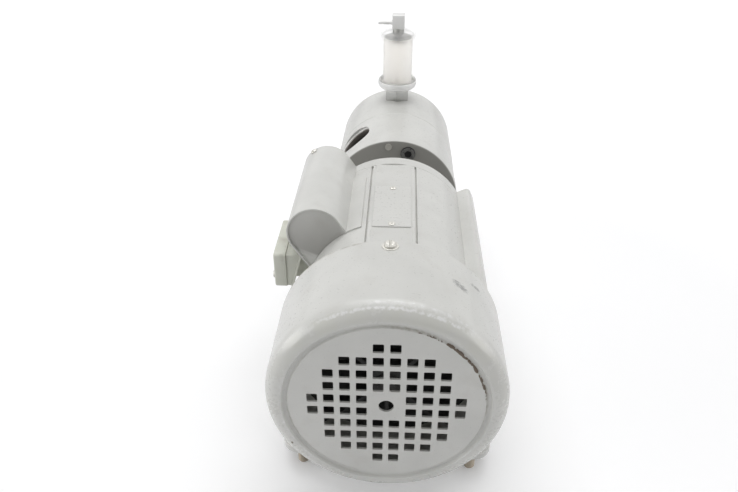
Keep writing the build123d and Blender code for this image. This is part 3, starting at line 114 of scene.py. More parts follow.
# %% Turned and carried surfaces
def grid_points(axis, a, b, height, centre=(0, 0, 0)):
    """Grid of points whose section is (a, b) and whose height runs along the axis X, Y or Z."""
    order = {"X": (height, a, b), "Y": (a, height, b), "Z": (a, b, height)}
    return np.stack(order[axis], axis=-1).reshape(-1, 3) + np.array(centre, float)


def capped(points, rows):
    """The quads between the rows of a grid, and one face over each end."""
    n = len(points) // rows
    return points, quads(rows, n) + [list(range(n)), list(range(len(points) - n, len(points)))]


def turned(corners, axis="Y", centre=(0, 0, 0), around=128, longest=1e9, arc_steps=5):
    """Outline (radius, height) carried round an axis: across = radius * sin t, up = radius * cos t."""
    outline = rounded(corners, longest, arc_steps)
    t = np.linspace(0, 2 * np.pi, around, endpoint=False)
    r, h = outline[:, :1], outline[:, 1:]
    points = grid_points(axis, r * np.sin(t), r * np.cos(t), h + 0 * t, centre)
    return points, quads(len(outline), around, close_rows=True)


def carried(section, stations, axis="Y", centre=(0, 0, 0)):
    """Section (a, b) carried along an axis through stations (height, inset): every point moves
    inwards by the inset along the section's own normal, which rounds the two ends."""
    forward = np.roll(section, -1, axis=0) - np.roll(section, 1, axis=0)
    forward = forward / np.linalg.norm(forward, axis=1)[:, None]
    turn = np.sum(section[:, 0] * np.roll(section[:, 1], -1) - np.roll(section[:, 0], -1) * section[:, 1])
    inward = np.stack([-forward[:, 1], forward[:, 0]], axis=1) * np.sign(turn)
    height, inset = np.array(stations, float).T
    flat = section[None] + inward[None] * inset[:, None, None]
    points = grid_points(axis, flat[..., 0], flat[..., 1], height[:, None] + 0 * flat[..., 0], centre)
    return capped(points, len(height))


def eased(start, end, edge=0.4):
    """Stations of a bar whose end edges are rounded over `edge`: quarter circles in four steps."""
    step = np.radians([0, 30, 60, 90])
    first = np.stack([start + edge * (1 - np.sin(step)), edge * (1 - np.cos(step))], axis=1)[::-1]
    last = np.stack([end - edge * (1 - np.sin(step)), edge * (1 - np.cos(step))], axis=1)
    return np.concatenate([first, last])


def rectangle(width, depth, corner, centre=(0, 0)):
    """Outline of a rectangle round its centre, with round corners."""
    x, y = width / 2, depth / 2
    return rounded([(-x, -y, corner), (x, -y, corner), (x, y, corner), (-x, y, corner)]) + np.array(centre)


def hexagon(across_flats, corner):
    """Six corners at across_flats / root 3 from the middle, each a little rounded."""
    t = np.radians(np.arange(6) * 60 + 30)
    r = across_flats / np.sqrt(3)
    return rounded(np.stack([r * np.cos(t), r * np.sin(t), np.full(6, corner)], axis=1), arc_steps=2)


def hexagon_radius(across_flats, t):
    """Radius of a hexagon at the angle t: half its width over the cosine of the angle from a flat."""
    return across_flats / 2 / np.cos((t + np.pi / 6) % (np.pi / 3) - np.pi / 6)


rod_points, rod_faces = turned([(0, 0, 0), (5, 0, 1), (5, 10, 1), (0, 10, 0)])
print("a 10 mm rod:", len(rod_points), "points", len(rod_faces), "faces")


# %% Moving and joining shells
def about_shaft(shell, degrees):
    """Turned clockwise about the shaft, seen from the fan: x = x cos + z sin, z = z cos - x sin."""
    points, faces = shell
    c, s = np.cos(np.radians(degrees)), np.sin(np.radians(degrees))
    x, y, z = points.T
    return np.stack([x * c + z * s, y, z * c - x * s], axis=1), faces


def moved(shell, x=0.0, y=0.0, z=0.0):
    """The same faces on shifted points."""
    return shell[0] + np.array([x, y, z]), shell[1]


def together(*shells):
    """One point list and one face list: each shell's faces start after the points before it."""
    starts = np.cumsum([0] + [len(s[0]) for s in shells])
    faces = [[v + int(start) for v in f] for s, start in zip(shells, starts) for f in s[1]]
    return np.concatenate([s[0] for s in shells]), faces


def piece(name, shell, finish, nodes=(), body=BODY, sharp=32.0):
    """Puts a shell into a mesh object: doubles merged, faces turned outwards by the signed volume,
    smooth except where two faces meet at more than `sharp` degrees."""
    mesh = bpy.data.meshes.new(name)
    mesh.from_pydata(in_frame(shell[0]), [], shell[1])
    bm = bmesh.new()
    bm.from_mesh(mesh)
    bmesh.ops.remove_doubles(bm, verts=bm.verts, dist=2e-6)
    if bm.calc_volume(signed=True) < 0:
        bmesh.ops.reverse_faces(bm, faces=bm.faces)
    bm.to_mesh(mesh)
    bm.free()
    mesh.shade_smooth()
    mesh.set_sharp_from_angle(angle=np.radians(sharp))
    mesh.materials.append(finish)
    made = bpy.data.objects.new(name, mesh)
    bpy.context.scene.collection.objects.link(made)
    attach(made, body)
    if nodes:
        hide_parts(*nodes)
    print(f"{name}: {len(mesh.polygons)} faces")
    return made


# %% [markdown]
# ## Finishes
# A paint or a metal is one shader with noise behind it: a slow noise drifts the colour, a fast one
# roughens the gloss and lifts a little bump.  Wear is a second colour, laid on where an attribute on
# the points and a noise agree; a few such marks lay painted shade and painted highlights instead.  A
# painted picture could hold the same marks, but it would need a layout of its own, so all of it reads
# Object coordinates, in metres, and attributes.

# %% A material with drift, grain, and marks for wear and for painted light
def ramp(tree, source, low, high, start, end):
    """From `low` where the source is at `start` to `high` where it is at `end`, and level outside."""
    node = tree.nodes.new("ShaderNodeMapRange")
    node.inputs["From Min"].default_value, node.inputs["From Max"].default_value = start, end
    node.inputs["To Min"].default_value, node.inputs["To Max"].default_value = low, high
    tree.links.new(source, node.inputs["Value"])
    return node.outputs["Result"]


def object_coordinates(tree):
    """The place on the object, in metres, which is also the place in the frame."""
    return tree.nodes.new("ShaderNodeTexCoord").outputs["Object"]


def noise(tree, size_mm, detail, stretch=(1, 1, 1)):
    """Noise whose features are about size_mm across, squeezed along an axis where stretch is over 1."""
    mapping = tree.nodes.new("ShaderNodeMapping")
    mapping.inputs["Scale"].default_value = stretch
    texture = tree.nodes.new("ShaderNodeTexNoise")
    texture.inputs["Scale"].default_value = 1000.0 / size_mm
    texture.inputs["Detail"].default_value = detail
    tree.links.new(object_coordinates(tree), mapping.inputs["Vector"])
    tree.links.new(mapping.outputs["Vector"], texture.inputs["Vector"])
    return texture.outputs["Fac"]


def mix(tree, amount, a, b):
    """Colour a where the amount is 0 and b where it is 1; each is a socket or a plain colour."""
    node = tree.nodes.new("ShaderNodeMix")
    node.data_type = "RGBA"
    for socket, value in ((node.inputs["A"], a), (node.inputs["B"], b)):
        if isinstance(value, tuple):
            socket.default_value = (*value, 1.0)
        else:
            tree.links.new(value, socket)
    tree.links.new(amount, node.inputs["Factor"])
    return node.outputs["Result"]


def joined(tree, operation, a, b):
    """Two values put together by one operation, such as MULTIPLY or MAXIMUM."""
    node = tree.nodes.new("ShaderNodeMath")
    node.operation = operation
    for socket, value in zip(node.inputs, (a, b)):
        tree.links.new(value, socket)
    return node.outputs["Value"]


def painted(tree, name):
    """An attribute from 0 to 1 that was written on the points."""
    node = tree.nodes.new("ShaderNodeAttribute")
    node.attribute_name = name
    return node.outputs["Fac"]


def patchy(tree, size_mm, name, low, high):
    """Where a noise and a painted attribute agree: their product, from `low` as 0 to `high` as 1."""
    blotches = ramp(tree, noise(tree, size_mm, 9.0), 0.0, 2.0, 0.3, 0.7)
    agreed = joined(tree, "MULTIPLY", blotches, painted(tree, name))
    return ramp(tree, agreed, 0.0, 1.0, low, high)


DRIFT_MM, STAIN_MM, GRAIN_DEPTH = 30.0, 14.0, 0.0005


def finish(name, colour, drift, rough, grain_mm, bump=0.05, metallic=0.0, coat=0.0, stretch=(1, 1, 1),
           dirt=None, marks=()):
    """Colour drifts by +-drift over 30 mm; roughness and bump follow a grain of grain_mm.  `dirt` is a
    faint stain in patches.  `marks` lists (attribute, colour, size_mm, low, high, roughness): each is
    laid over the last, where its attribute and a noise agree, or as painted where size_mm is 0."""
    material = bpy.data.materials.new(name)
    material.use_nodes = True
    tree = material.node_tree
    shader = tree.nodes["Principled BSDF"]
    shader.inputs["Metallic"].default_value = metallic
    shader.inputs["Coat Weight"].default_value = coat
    slow, fast = noise(tree, DRIFT_MM, 3.0), noise(tree, grain_mm, 6.0, stretch)
    dark = tuple(c * (1 - drift) for c in colour)
    light = tuple(min(1.0, c * (1 + drift)) for c in colour)
    shade = mix(tree, ramp(tree, slow, 0.0, 1.0, 0.35, 0.65), dark, light)
    shade = mix(tree, ramp(tree, fast, 0.0, 0.25, 0.4, 0.7), shade, dark)
    gloss = ramp(tree, fast, rough[0], rough[1], 0.3, 0.7)
    if dirt:
        shade = mix(tree, ramp(tree, noise(tree, STAIN_MM, 7.0), 0.0, 0.45, 0.55, 0.75), shade, dirt)
    for attribute, tint, size_mm, low, high, sheen in marks:
        where = patchy(tree, size_mm, attribute, low, high) if size_mm else painted(tree, attribute)
        shade = mix(tree, where, shade, tint)
        gloss = mix(tree, where, gloss, (sheen, sheen, sheen))
    tree.links.new(shade, shader.inputs["Base Color"])
    tree.links.new(gloss, shader.inputs["Roughness"])
    lift = tree.nodes.new("ShaderNodeBump")
    lift.inputs["Strength"].default_value = bump
    lift.inputs["Distance"].default_value = GRAIN_DEPTH
    tree.links.new(fast, lift.inputs["Height"])
    tree.links.new(lift.outputs["Normal"], shader.inputs["Normal"])
    return material


print("sizes in a finish, mm:", DRIFT_MM, STAIN_MM)

# %% [markdown]
# The castings and pressings share one pale grey enamel.  Each place where it is worn in another way,
# or where shade is painted on, gets a copy of it with its own marks: a mark is a colour with the size
# of its blotches, the levels between which it appears, and its roughness.

# %% Enamels
PAINT, STAIN = (0.64, 0.64, 0.615), (0.56, 0.55, 0.52)
enamel = finish("grey_enamel", PAINT, 0.035, (0.26, 0.38), 1.6, bump=0.08, coat=0.2, dirt=STAIN)
cover_marks = [
    ("rubbed", (0.64, 0.64, 0.595), 14.0, 0.0, 1.5, 0.13),
    # This pale mark is a painted highlight on the top of the corner, and scraped paint low on the left.
    ("highlights_and_scrapes", (0.80, 0.80, 0.79), 2.5, 0.35, 1.2, 0.15),
    ("grime", (0.34, 0.32, 0.27), 4.0, 0.1, 1.3, 0.6),
    ("scuffed", (0.33, 0.33, 0.32), 1.6, 0.10, 0.9, 0.5),
    ("chipped", (0.15, 0.115, 0.085), 4.0, 0.58, 0.80, 0.65)]
cover_enamel = finish("cover_enamel", PAINT, 0.035, (0.26, 0.38), 1.6, bump=0.10, coat=0.25,
                      dirt=(0.57, 0.56, 0.53), marks=cover_marks)
# This copy darkens to a painted shade where its attribute is painted: adapter front, capacitor end.
painted_shade_enamel = finish("painted_shade_enamel", PAINT, 0.035, (0.28, 0.4), 1.6, bump=0.08, coat=0.2, dirt=STAIN,
                     marks=[("dust_and_shade", (0.30, 0.295, 0.275), 0, 0, 0, 0.6)])
plate_enamel = finish("plate_enamel", (0.66, 0.66, 0.635), 0.02, (0.25, 0.36), 2.0)
box_enamel = finish("box_enamel", (0.64, 0.65, 0.575), 0.07, (0.34, 0.5), 1.2, bump=0.14,
                    dirt=(0.34, 0.32, 0.26))
print("enamels:", len(bpy.data.materials))

# %% [markdown]
# The metals differ in colour, in how rough they are and in which way their grain runs: round the
# filter's turned parts, along the shaft on ground steel, and across it on a stack of core sheets.

# %% Metals
zinc = finish("zinc_plate", (0.62, 0.61, 0.57), 0.10, (0.34, 0.5), 0.8, bump=0.06, metallic=0.7)
stud_zinc = finish("stud_zinc", (0.36, 0.315, 0.255), 0.20, (0.38, 0.6), 0.7, bump=0.15, metallic=0.7,
                   dirt=(0.14, 0.105, 0.07))
nickel = finish("nickel_plate", (0.40, 0.40, 0.385), 0.05, (0.24, 0.36), 0.6, bump=0.04, metallic=0.9)
satin = finish("satin_aluminium", (0.78, 0.78, 0.77), 0.03, (0.30, 0.42), 0.5, bump=0.04, metallic=0.30,
               stretch=(1, 1, 8))
# A dark steel for the shaft and the circlip, whose ends show through the grille.
dark_steel = finish("dark_grey_steel", (0.13, 0.125, 0.12), 0.1, (0.45, 0.65), 0.8, metallic=0.4)
bright = finish("bright_steel", (0.66, 0.65, 0.62), 0.05, (0.16, 0.3), 0.5, bump=0.04, metallic=1.0,
                stretch=(1, 0.1, 1))
# On the black screws the same attribute lays grey dust on the face of each front head.
black = finish("black_oxide", (0.012, 0.012, 0.013), 0.3, (0.4, 0.55), 0.6, bump=0.08, metallic=0.2,
               marks=[("dust_and_shade", (0.15, 0.15, 0.145), 2.0, 0.1, 0.8, 0.6)])
cast = finish("cast_aluminium", (0.48, 0.48, 0.47), 0.06, (0.42, 0.6), 0.9, bump=0.35, metallic=0.9)
anodised = finish("bright_anodised", (0.80, 0.81, 0.82), 0.03, (0.18, 0.28), 0.5, bump=0.03, metallic=1.0,
                  stretch=(1, 1, 8))
core_steel = finish("core_steel", (0.22, 0.22, 0.225), 0.1, (0.35, 0.5), 0.5, bump=0.3, metallic=0.9,
                    stretch=(0.05, 2.0, 0.05))
valve_steel = finish("valve_steel", (0.52, 0.53, 0.54), 0.05, (0.2, 0.3), 0.6, bump=0.03, metallic=1.0)
print("enamels and metals:", len(bpy.data.materials))

# %% [markdown]
# The rest are a varnish, rubbers, mouldings and the filter's white element.  The element is pressed
# from white grains that let light into it.  That could be subsurface light, but transmission through
# a rough surface gives the same soft white and is quicker.

# %% Varnish, rubbers, mouldings and the filter element
varnish = finish("winding_varnish", (0.26, 0.085, 0.03), 0.2, (0.2, 0.4), 0.8, bump=0.4,
                 metallic=0.3, coat=0.3, stretch=(1, 0.1, 1))
rubber = finish("black_rubber", (0.016, 0.016, 0.017), 0.2, (0.6, 0.8), 0.7, bump=0.15)
pale_rubber = finish("pale_rubber", (0.50, 0.485, 0.44), 0.08, (0.55, 0.75), 0.9, bump=0.15)
moulding = finish("fan_moulding", (0.10, 0.10, 0.097), 0.12, (0.4, 0.6), 1.0, bump=0.15)
dark_moulding = finish("dark_moulding", (0.03, 0.03, 0.03), 0.2, (0.35, 0.5), 1.0, bump=0.1)
sintered = finish("sintered_filter", (0.99, 0.975, 0.95), 0.01, (0.55, 0.75), 0.5, bump=0.3)
sintered.node_tree.nodes["Principled BSDF"].inputs["Transmission Weight"].default_value = 0.92
print("finishes:", len(bpy.data.materials))

# %% [markdown]
# The drum's front barrel keeps the frame's own shape, so its outlet port is already there.  Inside,
# the port is bare dark metal, and painted shade takes it to black deeper in.  A separate liner could
# show it, but the shape is right as it is, so a copy of the enamel changes colour by the distance from
# the port's axis and by the depth along it.

# %% Bare metal and painted shade inside the outlet port
PORT_Y, PORT_TURN, PORT_R, PORT_MOUTH_R = 303.0, -42.0, 15.6, 54.6
PORT_FROM, PORT_DEEP, PORT_SHALLOW = 20.0, 7.0, 2.0


def vector_math(tree, operation, source, other=(0.0, 0.0, 0.0)):
    """One operation on a vector socket and a fixed vector; lengths and dot products are values."""
    node = tree.nodes.new("ShaderNodeVectorMath")
    node.operation = operation
    tree.links.new(source, node.inputs[0])
    node.inputs[1].default_value = other
    return node.outputs["Value" if operation in ("LENGTH", "DOT_PRODUCT") else "Vector"]


def bare_and_shade_in_port(material, metal):
    """Off the port's axis by |p x a| and out along it by p . a: `metal` shows where the first is under
    the port's radius, and darkens to black as painted shade where the second is deep under the mouth."""
    tree = material.node_tree
    shader = tree.nodes["Principled BSDF"]
    axis = (float(np.sin(np.radians(PORT_TURN))), 0.0, float(np.cos(np.radians(PORT_TURN))))
    foot = tuple(float(v) for v in in_frame(np.array([0.0, PORT_Y, 0.0])))
    from_foot = vector_math(tree, "SUBTRACT", object_coordinates(tree), foot)
    off = vector_math(tree, "LENGTH", vector_math(tree, "CROSS_PRODUCT", from_foot, axis))
    out = vector_math(tree, "DOT_PRODUCT", from_foot, axis)
    near_axis = ramp(tree, off, 1.0, 0.0, PORT_R / 1000, (PORT_R + 0.4) / 1000)
    above_foot = ramp(tree, out, 0.0, 1.0, PORT_FROM / 1000, (PORT_FROM + 1) / 1000)
    inside = joined(tree, "MULTIPLY", near_axis, above_foot)
    # Painted shade: the bare metal darkens towards black deeper in the port.
    lit = ramp(tree, out, 0.0, 1.0, (PORT_MOUTH_R - PORT_DEEP) / 1000, (PORT_MOUTH_R - PORT_SHALLOW) / 1000)
    tint = mix(tree, lit, tuple(0.08 * c for c in metal), metal)
    paint_colour = shader.inputs["Base Color"].links[0].from_socket
    tree.links.new(mix(tree, inside, paint_colour, tint), shader.inputs["Base Color"])


barrel_enamel = enamel.copy()
barrel_enamel.name = "barrel_enamel"
bare_and_shade_in_port(barrel_enamel, (0.16, 0.145, 0.13))
print("port finish:", barrel_enamel.name)

# %% [markdown]
# The filter bowl is clear moulded plastic, a little milky.  Real refraction would bend the element's
# edges and need many more light paths, so the walls are thin instead: they let most of what lies
# behind through.  A painted attribute makes them denser and greyer: at the shoulder it is painted
# shade for the darkening that refraction gives, and it also lays a grey line round the base.

# %% Clear bowl finish
# Its grey mark is painted shade on the shoulder, and a grey line round the base.
clear = finish("clear_bowl", (1.0, 1.0, 0.99), 0.0, (0.10, 0.2), 4.0, bump=0.03, coat=0.3,
               marks=[("veil_and_shade", (0.42, 0.42, 0.41), 0, 0, 0, 0.2)])
tree = clear.node_tree
density = ramp(tree, painted(tree, "veil_and_shade"), 0.08, 0.40, 0.0, 1.0)
tree.links.new(density, tree.nodes["Principled BSDF"].inputs["Alpha"])
print("bowl finish:", clear.name)

# %% [markdown]
# ## Fan cover
# The cover is a pressed cup.  A bevelled cylinder would give its wall and one corner, but not the
# groove round the face, so its rim is an outline turned round the shaft: a flat ring, a groove, a big
# soft corner, and the long wall.  Three shallow dimples seat the screws, so the wall has enough points
# to bend.

# %% Cover shell
COVER_R, COVER_LENGTH, COVER_WALL = 75.0, 71.0, 1.5
FACE_Y, FACE_R, RIM_R, GROOVE_Y, GRILLE_R = 1.0, 60.0, 64.0, 2.3, 58.0
COVER_POINTS_ROUND = 288
cover_outline = [
    (GRILLE_R, FACE_Y, 0), (FACE_R, FACE_Y, 0.6), (FACE_R + 0.8, GROOVE_Y, 0.6), (RIM_R - 0.8, GROOVE_Y, 0.6),
    (RIM_R, 0, 0.7), (COVER_R, 0, 10.2), (COVER_R, COVER_LENGTH, 0.6),
    (COVER_R - COVER_WALL, COVER_LENGTH, 0.6), (COVER_R - COVER_WALL, 1.6, 7.9), (RIM_R + 1.5, 1.6, 0),
    (RIM_R + 1.5, 4.5, 0), (GRILLE_R + 0.5, 4.5, 0),
    (GRILLE_R + 0.5, FACE_Y + COVER_WALL, 0), (GRILLE_R, FACE_Y + COVER_WALL, 0)]
SCREW_Y, SCREW_TURNS, DIMPLE_R, DIMPLE_DEPTH = 64.0, (0, 120, 240), 7.0, 0.7


def dimpled(shell):
    """Radius less DIMPLE_DEPTH * (1 - d)^2 (1 + 2 d), where d is the distance from a screw over
    DIMPLE_R, and 1 at most."""
    points, faces = shell
    x, y, z = points.T
    r, t = np.hypot(x, z), np.arctan2(x, z)
    for turn in SCREW_TURNS:
        off = (t - np.radians(turn) + np.pi) % (2 * np.pi) - np.pi
        d = np.clip(np.hypot(off * r, y - SCREW_Y) / DIMPLE_R, 0, 1)
        r = r - DIMPLE_DEPTH * (1 - d) ** 2 * (1 + 2 * d)
    return np.stack([r * np.sin(t), y, r * np.cos(t)], axis=1), faces


cover_shell = dimpled(turned(cover_outline, around=COVER_POINTS_ROUND, longest=1.6, arc_steps=18))
print("cover shell:", len(cover_shell[0]), "points")

# %% [markdown]
# The grille is a disc with square holes.  A grid of quads can't follow both squares and a circle, and
# sixty-four cuts in a solid disc are slow, so a flat, filled curve makes it: one round outline, the
# squares and one round hole.  Its rim has as many points as the shell, so the two merge into one skin.

# %% Grille disc
HOLE_PITCH, HOLE_SIDE, CENTRE_HOLE_R = 10.0, 6.5, 4.65
HOLE_ROWS = [2, 6, 8, 8, 10, 10, 8, 8, 6, 2]


def ring_points(radius, n):
    """n points on a circle: (radius * sin t, radius * cos t)."""
    t = np.linspace(0, 2 * np.pi, n, endpoint=False)
    return np.stack([radius * np.sin(t), radius * np.cos(t)], axis=1)


def hole_outlines():
    """Squares centred on a square grid, with the middle four left out for one round hole."""
    square = rectangle(HOLE_SIDE, HOLE_SIDE, 0.7)
    outlines = [ring_points(CENTRE_HOLE_R, 48)]
    for row, count in enumerate(HOLE_ROWS):
        for column in range(count):
            x = (column - (count - 1) / 2) * HOLE_PITCH
            z = ((len(HOLE_ROWS) - 1) / 2 - row) * HOLE_PITCH
            if max(abs(x), abs(z)) > HOLE_PITCH:
                outlines.append(square + np.array([x, z]))
    return outlines


def flat_disc(outlines, thickness):
    """Points and faces of a filled flat curve, (a, b) in the sheet and its thickness across."""
    curve = bpy.data.curves.new("sheet", "CURVE")
    curve.dimensions, curve.fill_mode, curve.extrude = "2D", "BOTH", thickness / 2
    for outline in outlines:
        spline = curve.splines.new("POLY")
        spline.points.add(len(outline) - 1)
        spline.points.foreach_set("co", np.pad(outline, ((0, 0), (0, 2))).ravel())
        spline.use_cyclic_u = True
    holder = bpy.data.objects.new("sheet", curve)
    mesh = holder.to_mesh()
    co = np.zeros(len(mesh.vertices) * 3)
    mesh.vertices.foreach_get("co", co)
    faces = [list(p.vertices) for p in mesh.polygons]
    holder.to_mesh_clear()
    bpy.data.objects.remove(holder)
    bpy.data.curves.remove(curve)
    return co.reshape(-1, 3), faces


holes = hole_outlines()
disc_points, disc_faces = flat_disc([ring_points(GRILLE_R, COVER_POINTS_ROUND)] + holes, COVER_WALL)
across, up, through = disc_points.T
disc = np.stack([across, FACE_Y + COVER_WALL / 2 - through, up], axis=1), disc_faces
print("grille holes:", len(holes))

# %% [markdown]
# The cover has worn most where it is handled: its corner is rubbed, the groove and the rear edge
# hold grime, the paint has chipped along the groove, and something has scuffed the wall.  Two pale
# arcs along the top of the corner are a painted highlight, with a wider pale haze round them.  A
# noise alone would spread such marks evenly, so each is written on the points as a hill round its own
# radius, over its own stretch of the turn t, in degrees from the top and clockwise seen from the fan.


# %% Writing wear on the points
def paint(made, name, values):
    """Writes one number per point into the mesh, for a finish to read."""
    layer = made.data.attributes.new(name, "FLOAT", "POINT")
    layer.data.foreach_set("value", values.astype(np.float32))


def shaft_points(made):
    """The mesh's points, back in shaft millimetres."""
    co = np.zeros(len(made.data.vertices) * 3)
    made.data.vertices.foreach_get("co", co)
    return co.reshape(-1, 3) * 1000.0 - np.array([0.0, -STUD_MID_Y, SHAFT_HEIGHT])


def hill(value, middle, width):
    """A bump of height 1: exp(-((value - middle) / width)^2)."""
    return np.exp(-((value - middle) / width) ** 2)


def within(value, low, high, soft):
    """1 between low and high, falling to 0 over `soft` outside them."""
    return np.clip((value - low) / soft + 1, 0, 1) * np.clip((high - value) / soft + 1, 0, 1)


def streak(t, y, turn, along, length, width, slope):
    """A mark on the wall with its middle at (turn, along) and turned by its slope.  With a and b its
    own axes, it is exp(-(2 a / length)^4 - (2 b / width)^4), so it fades only near its ends."""
    round_mm, off = np.radians(t - turn) * COVER_R, y - along
    a = round_mm * np.cos(slope) + off * np.sin(slope)
    b = off * np.cos(slope) - round_mm * np.sin(slope)
    return np.exp(-(2 * a / length) ** 4 - (2 * b / width) ** 4)


print("a hill one width off its middle:", round(float(hill(1.0, 0.0, 1.0)), 3))

# %% Cover, with its wear and a painted highlight
cover = piece("fan_cover_pressing", together(cover_shell, disc), cover_enamel, ["fan_cover"])
x, y, z = shaft_points(cover).T
r, t = np.hypot(x, z), np.degrees(np.arctan2(x, z))
wall, front = r > RIM_R - 0.5, y < 8
shoulder = within(r, 66.0, 72.5, 1.5) * (y < 9) * (r > RIM_R)
paint(cover, "rubbed", np.clip(shoulder * (0.30 + 0.70 * within(t, -50, 70, 25)), 0, 1))
# Painted highlight: two thin pale arcs on the corner's top, with a wider pale haze; left_chips are scrapes.
painted_highlight_arcs = 0.8 * hill(r, 72.4, 0.8) * within(t, -24, 30, 18) + 0.5 * hill(r, 74.4, 0.5) * within(t, -5, 40, 15)
haze = 0.22 * hill(r, 73.0, 2.0) * within(t, -75, 70, 20)
left_chips = 0.6 * hill(r, 65.0, 1.5) * (y < 5) * within(t, -135, -75, 15)
paint(cover, "highlights_and_scrapes", np.clip((painted_highlight_arcs + haze) * front + left_chips, 0, 1))
share = 0.15 + 0.45 * within(t, 10, 85, 20) + 0.35 * within(t, -160, -100, 15)
groove = hill(r, 60.6, 0.9) * (y < 6) * share
rear = hill(y, COVER_LENGTH, 1.8) * wall * (0.10 + 0.85 * within(t, -62, -18, 8))
paint(cover, "grime", np.clip(np.maximum(groove, rear), 0, 1))
scuffs = streak(t, y, 35.2, 42.0, 11.0, 5.2, -0.38) + streak(t, y, 46.0, 53.5, 8.0, 3.2, 0.1)
paint(cover, "scuffed", np.clip(scuffs * wall, 0, 1))
edge_chips = hill(r, 60.2, 0.8) * (y < 5) * (0.50 * within(t, 32, 70, 10) + 0.80 * within(t, 18, 84, 6)) / 1.2
foot_chips = 0.55 * hill(r, 68.0, 2.5) * front * hill(t, -120, 5)
paint(cover, "chipped", np.clip(np.maximum.reduce([edge_chips, foot_chips, 0.5 * rear]), 0, 1))
kinds = [mark[0] for mark in cover_marks]
print("marks on the cover:", [layer.name for layer in cover.data.attributes if layer.name in kinds])

# %% [markdown]
# ## Motor frame
# The frame is a tube with a flat pad on top and a groove at each side of the pad.  These could be cut
# from a cylinder, but then the cuts' edges would need mending, so the outer radius is one function of
# the angle instead, carried along the shaft.


# %% Frame tube
FRAME_R, FRAME_BORE_R, FRAME_Y = 61.8, 57.0, (66.0, 210.0)
PAD_HEIGHT, PAD_HALF = 61.0, 14.2
GROOVE_X, GROOVE_WIDTH, GROOVE_DEPTH = 17.3, 1.5, 2.0


def frame_radius(t):
    """The frame's radius; the pad's height over cos t on the pad; the groove's depth less in a groove."""
    x = FRAME_R * np.sin(t)
    r = np.full_like(t, FRAME_R)
    upper = np.cos(t) > 0
    r = np.where(upper & (np.abs(PAD_HEIGHT * np.tan(t)) < PAD_HALF), PAD_HEIGHT / np.cos(t), r)
    return np.where(upper & (np.abs(np.abs(x) - GROOVE_X) < GROOVE_WIDTH / 2), FRAME_R - GROOVE_DEPTH, r)


def fine_angles():
    """Even steps of 1.5 degrees, with close steps over the pad and the grooves."""
    even = np.arange(-180, 180, 1.5)
    return np.radians(np.unique(np.round(np.concatenate([even, np.arange(-20, 20, 0.25)]), 4)))


def frame_tube():
    """Round the wall of the tube: bore, end face, outer skin with eased edges, end face, bore."""
    t = fine_angles()
    outer = frame_radius(t)
    y0, y1 = FRAME_Y
    bore = np.full_like(t, FRAME_BORE_R)
    radius = np.array([bore, outer - 0.5, outer, outer, outer - 0.4, bore])
    along = np.array([y0, y0, y0 + 0.5, y1 - 0.4, y1, y1])[:, None]
    points = grid_points("Y", radius * np.sin(t), radius * np.cos(t), along + 0 * t)
    return points, quads(len(radius), len(t), close_rows=True)


print("radius at the pad's middle and at the side:", frame_radius(np.radians([0.0, 90.0])))

# %% [markdown]
# The wiring duct is a flat-topped bar with soft shoulders.  It could be part of the radius above, but
# its sides are steep and would stretch the grid.  So it is drawn as if it stood at the top, carried
# along the frame and over the rim of the drive end shield, and then turned to the right.

# %% Wiring duct
DUCT_TURN, DUCT_WIDTH, DUCT_REACH, DUCT_SHOULDER, DUCT_END_Y = 65.0, 13.0, 72.0, 3.5, 221.3
duct_half, duct_foot = DUCT_WIDTH / 2, FRAME_BORE_R + 1
duct_section = rounded([(-duct_half, duct_foot, 0), (duct_half, duct_foot, 0),
                        (duct_half, DUCT_REACH, DUCT_SHOULDER), (-duct_half, DUCT_REACH, DUCT_SHOULDER)],
                       arc_steps=8)
duct = about_shaft(carried(duct_section, eased(FRAME_Y[0] + 0.5, DUCT_END_Y, 1.2)), DUCT_TURN)
piece("motor_frame_tube", together(frame_tube(), duct), enamel, ["motor_frame"])

# %% [markdown]
# The bare plate on the pad is a thin sheet with soft corners, held by two small pan-head screws.  A
# screw is a turned shape too.  Its slot could be cut with a thin bar, but it is enough to lower the
# crown's points where they lie within the slot's width.


# %% Screws
SCREW_POINTS_ROUND = 72


def pan_screw(head_r, head_h, slot_w, washer=0.0, washer_t=0.0):
    """Head that stands on z = 0, crowned, with a slot as deep as half the head.  The crown's height
    falls to the slot's floor where |x| is under half the slot's width."""
    outline = rounded([(0, 0, 0), (head_r, 0, 0.2), (head_r, head_h * 0.55, 0.3), (head_r * 0.7, head_h, 0.8),
                       (0, head_h, 0)], longest=0.35, arc_steps=3)
    t = np.linspace(0, 2 * np.pi, SCREW_POINTS_ROUND, endpoint=False)
    r, h = outline[:, :1], outline[:, 1:]
    x = r * np.sin(t)
    height = np.where(np.abs(x) < slot_w / 2, np.minimum(h, head_h * 0.5), h + 0 * t)
    head = grid_points("Z", x, r * np.cos(t), height + washer_t), quads(len(outline), len(t), close_rows=True)
    if not washer:
        return head
    washer_outline = [(0, 0, 0), (washer, 0, 0.2), (washer, washer_t, 0.3), (0, washer_t, 0)]
    return together(head, turned(washer_outline, axis="Z", around=SCREW_POINTS_ROUND))


PLATE_Y, PLATE_HALF, PLATE_T = (110.5, 170.5), 13.6, 0.8
plate = carried(rectangle(2 * PLATE_HALF, PLATE_Y[1] - PLATE_Y[0], 0.8, (0, sum(PLATE_Y) / 2)),
                eased(PAD_HEIGHT, PAD_HEIGHT + PLATE_T, 0.25), axis="Z")
piece("blank_plate_sheet", plate, plate_enamel, ["blank_plate"])
cover_screw = pan_screw(4.0, 2.4, 1.0, washer=5.4, washer_t=1.0)
fan_screws = [about_shaft(moved(cover_screw, y=SCREW_Y, z=COVER_R - 0.5), turn) for turn in SCREW_TURNS]
piece("fan_cover_screw_heads", together(*fan_screws), zinc, ["fan_cover_screws"])

